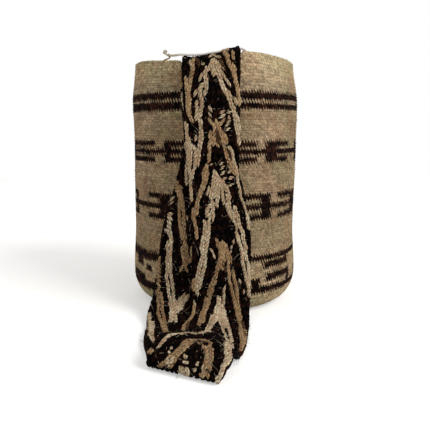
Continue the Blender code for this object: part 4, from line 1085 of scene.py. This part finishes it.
def floatTree(plies):  # lays a short length of twisted yarn at each point, flat on the braid
    tree, node, given = newTree(f"laid floats of {plies} plies", {
        "length": braid["floatLength"], "width": braid["floatWidth"], "thickness": braid["floatThick"],
        "turns": braid["plyTurns"], "size spread": braid["sizeSpread"], "seed": braid["sizeSeed"], "wool": None})
    offCentre, radius, sides = (0.24, 0.29, 5) if plies > 1 else (0.0, 0.5, 6)
    line = node("MeshLine", {"Count": 7, "Start Location": (0, 0, -0.5), "Offset": (0, 0, 1 / 6)})
    curve = node("MeshToCurve", {"Mesh": line})
    t = node("MapRange", [node("SplineParameter"), 0.0, 1.0, -1.0, 1.0])
    end = node("Math", [node("Math", [t], "ABSOLUTE"), 2.4], "POWER")
    taper = node("MapRange", [end, 0.0, 1.0, 1.0, 0.28])
    turn = node("Math", [t, given["turns"]], "MULTIPLY")
    turn = node("Math", [turn, math.pi], "MULTIPLY")
    reach = node("Math", [taper, offCentre], "MULTIPLY")
    ring = node("CurvePrimitiveCircle", {"Resolution": sides, "Radius": radius})
    joined = node("JoinGeometry")
    for ply in range(plies):
        angle = node("Math", [turn, 2 * math.pi * ply / plies], "ADD")
        offset = node("CombineXYZ", [node("Math", [angle], "COSINE"), node("Math", [angle], "SINE")])
        offset = node("VectorMath", {0: offset, "Scale": reach}, "SCALE")
        moved = node("SetPosition", {"Geometry": curve, "Offset": offset})
        swept = node("CurveToMesh", {"Curve": moved, "Profile Curve": ring, "Scale": taper, "Fill Caps": True})
        tree.links.new(swept.outputs[0], joined.inputs[0])
    # painted shade: points near a float's axis, in the crease between its plies and at its tapered ends, are marked
    # for darkening
    spot = node("VectorMath", [node("InputPosition"), (1, 1, 0)], "MULTIPLY")
    out = node("VectorMath", [spot], "LENGTH")
    deep = node("MapRange", [out.outputs["Value"], 0.28, 0.5, 1.0, 0.0])
    marked = node("StoreNamedAttribute", {"Geometry": joined, "Name": "crease", "Value": deep}, data_type="FLOAT",
                  domain="POINT")
    smoothed = node("SetShadeSmooth", {"Geometry": marked})
    along, outward = (node("InputNamedAttribute", {"Name": name}, data_type="FLOAT_VECTOR")
                      for name in ("along", "outward"))
    turned = node("AxesToRotation", [along, outward], primary_axis="Z", secondary_axis="Y")
    girth, reach = (node("InputNamedAttribute", {"Name": name}, data_type="FLOAT") for name in ("girth", "reach"))
    wide = node("Math", [given["width"], girth], "MULTIPLY")
    long = node("Math", [given["length"], reach], "MULTIPLY")
    size = node("CombineXYZ", [wide, given["thickness"], long])
    least = node("Math", [1.0, given["size spread"]], "SUBTRACT")
    most = node("Math", [1.0, given["size spread"]], "ADD")
    spread = node("RandomValue", {"Min": least, "Max": most, "Seed": given["seed"]}, data_type="FLOAT")
    size = node("VectorMath", {0: size, "Scale": spread.outputs[1]}, "SCALE")
    laid = node("InstanceOnPoints", {
        "Points": given["Geometry"], "Instance": smoothed, "Rotation": turned, "Scale": size})
    real = node("RealizeInstances", {"Geometry": laid})
    node("NodeGroupOutput", [node("SetMaterial", {"Geometry": real, "Material": given["wool"]})])
    return tree


def makeFloats():
    placed, trees = layFloats(), {"ground": floatTree(1), "strands": floatTree(2)}
    random = np.random.default_rng(braid["seed"] + 1)
    yarns = {"strands": {"cream": creamWool, "tan": tanWool, "brown": brownWool}, "ground": {"black": blackWool}}
    for face, side in (("front", 1), ("back", -1)):
        for share in yarns:
            parts = []
            name = f"strap_{share}_{face}"
            for wool, yarn in yarns[share].items():
                x, s, turn, girth, height, reach = placed[wool][shows(*placed[wool][:, :2].T, face)].T
                place, along, over, normal = sheetPoint(x, s)
                thin = halfThick(x / (strap["width"] / 2)) * strap["core"]
                lift = thin + braid["floatThick"] * (braid["sunk"] + braid["raised"] * height)
                cloud = addPiece(name + "_" + wool, place + side * normal * lift[:, None], [], [])
                heading = along * np.cos(turn)[:, None] + over * np.sin(turn)[:, None]
                setAttribute(cloud.data, "along", heading, "FLOAT_VECTOR")
                setAttribute(cloud.data, "outward", side * normal, "FLOAT_VECTOR")
                setAttribute(cloud.data, "girth", girth)
                setAttribute(cloud.data, "reach", reach)
                shift = braid["upperShift"].get(wool, 0.0) * (1 - smooth(*braid["upperFade"], s))
                setAttribute(cloud.data, "chance", random.random(len(x)) + shift)
                parts.append(grow(cloud, trees[share], wool=yarn))
            handOver(joinPieces(parts, name))


makeFloats()

# stray fibres: hand-spun wool sheds short hairs, and a few long pale ones lie on the black

fibres = {
    "strapShort": {"count": 1600, "length": 0.0024, "thickness": 0.00017, "least tilt": 1.36, "most tilt": 1.54,
                   "lift": 0.0013, "seed": 14},
    "strapLong": {"count": 170, "length": 0.0095, "thickness": 0.00013, "least tilt": 1.48, "most tilt": 1.56,
                  "lift": 0.0015, "seed": 12},
    "bag": {"count": 1700, "length": 0.0026, "thickness": 0.00017, "least tilt": 1.2, "most tilt": 1.5,
            "lift": -0.0001, "seed": 13},
}


def fibreTree():  # scatters short curved hairs over a surface, nearly flat on it
    tree, node, given = newTree("stray fibres", {
        "density": 1000.0, "length": 0.004, "thickness": 0.0002, "least tilt": 0.9, "most tilt": 1.5, "lift": 0.001,
        "seed": 1, "wool": None})
    spots = node("DistributePointsOnFaces", {
        "Mesh": given["Geometry"], "Density": given["density"], "Seed": given["seed"]})
    push = node("VectorMath", {0: spots.outputs["Normal"], "Scale": given["lift"]}, "SCALE")
    raised = node("SetPosition", {"Geometry": spots.outputs["Points"], "Offset": push})
    strand = node("CurveQuadraticBezier", {
        "Resolution": 4, "Start": (0, 0, 0), "Middle": (3.5, 0, 0.5), "End": (0, 2.0, 1.0)})
    ring = node("CurvePrimitiveCircle", {"Resolution": 3, "Radius": 0.5})
    hair = node("CurveToMesh", {"Curve": strand, "Profile Curve": ring, "Fill Caps": True})
    hair = node("SetShadeSmooth", {"Geometry": hair})
    tilt = node("RandomValue", {"Min": given["least tilt"], "Max": given["most tilt"], "Seed": given["seed"]},
                data_type="FLOAT")
    spin = node("RandomValue", {"Min": 0.0, "Max": 2 * math.pi, "Seed": 5}, data_type="FLOAT")
    lean = node("EulerToRotation", [node("CombineXYZ", {0: tilt.outputs[1], 2: spin.outputs[1]})])
    turned = node("RotateRotation", [spots.outputs["Rotation"], lean], rotation_space="LOCAL")
    grown = node("RandomValue", {"Min": 0.5, "Max": 1.3, "Seed": 9}, data_type="FLOAT")
    long = node("Math", [given["length"], grown.outputs[1]], "MULTIPLY")
    size = node("CombineXYZ", [given["thickness"], given["thickness"], long])
    placed = node("InstanceOnPoints", {"Points": raised, "Instance": hair, "Rotation": turned, "Scale": size})
    real = node("RealizeInstances", {"Geometry": placed})
    node("NodeGroupOutput", [node("SetMaterial", {"Geometry": real, "Material": given["wool"]})])
    return tree


def makeFibres():
    tree = fibreTree()
    for name, under, wool, slot in (("strapShort", "strap_core", cordWool, "strap_wool"),
                                    ("strapLong", "strap_core", cordWool, "strap_wool"),
                                    ("bag", "bag_wall", tanWool, "bag_wool")):
        piece = bpy.data.objects.new("stray_" + name, bpy.data.objects[under].data.copy())
        piece.data.name = piece.name
        bpy.context.scene.collection.objects.link(piece)
        area = sum(face.area for face in piece.data.polygons)
        grow(piece, tree, wool=wool, density=fibres[name]["count"] / area, **fibres[name])
        for corner in piece.data.vertices:  # nothing lies below the floor
            corner.co.z = max(corner.co.z, 0.0002)
        handOver(piece)


makeFibres()
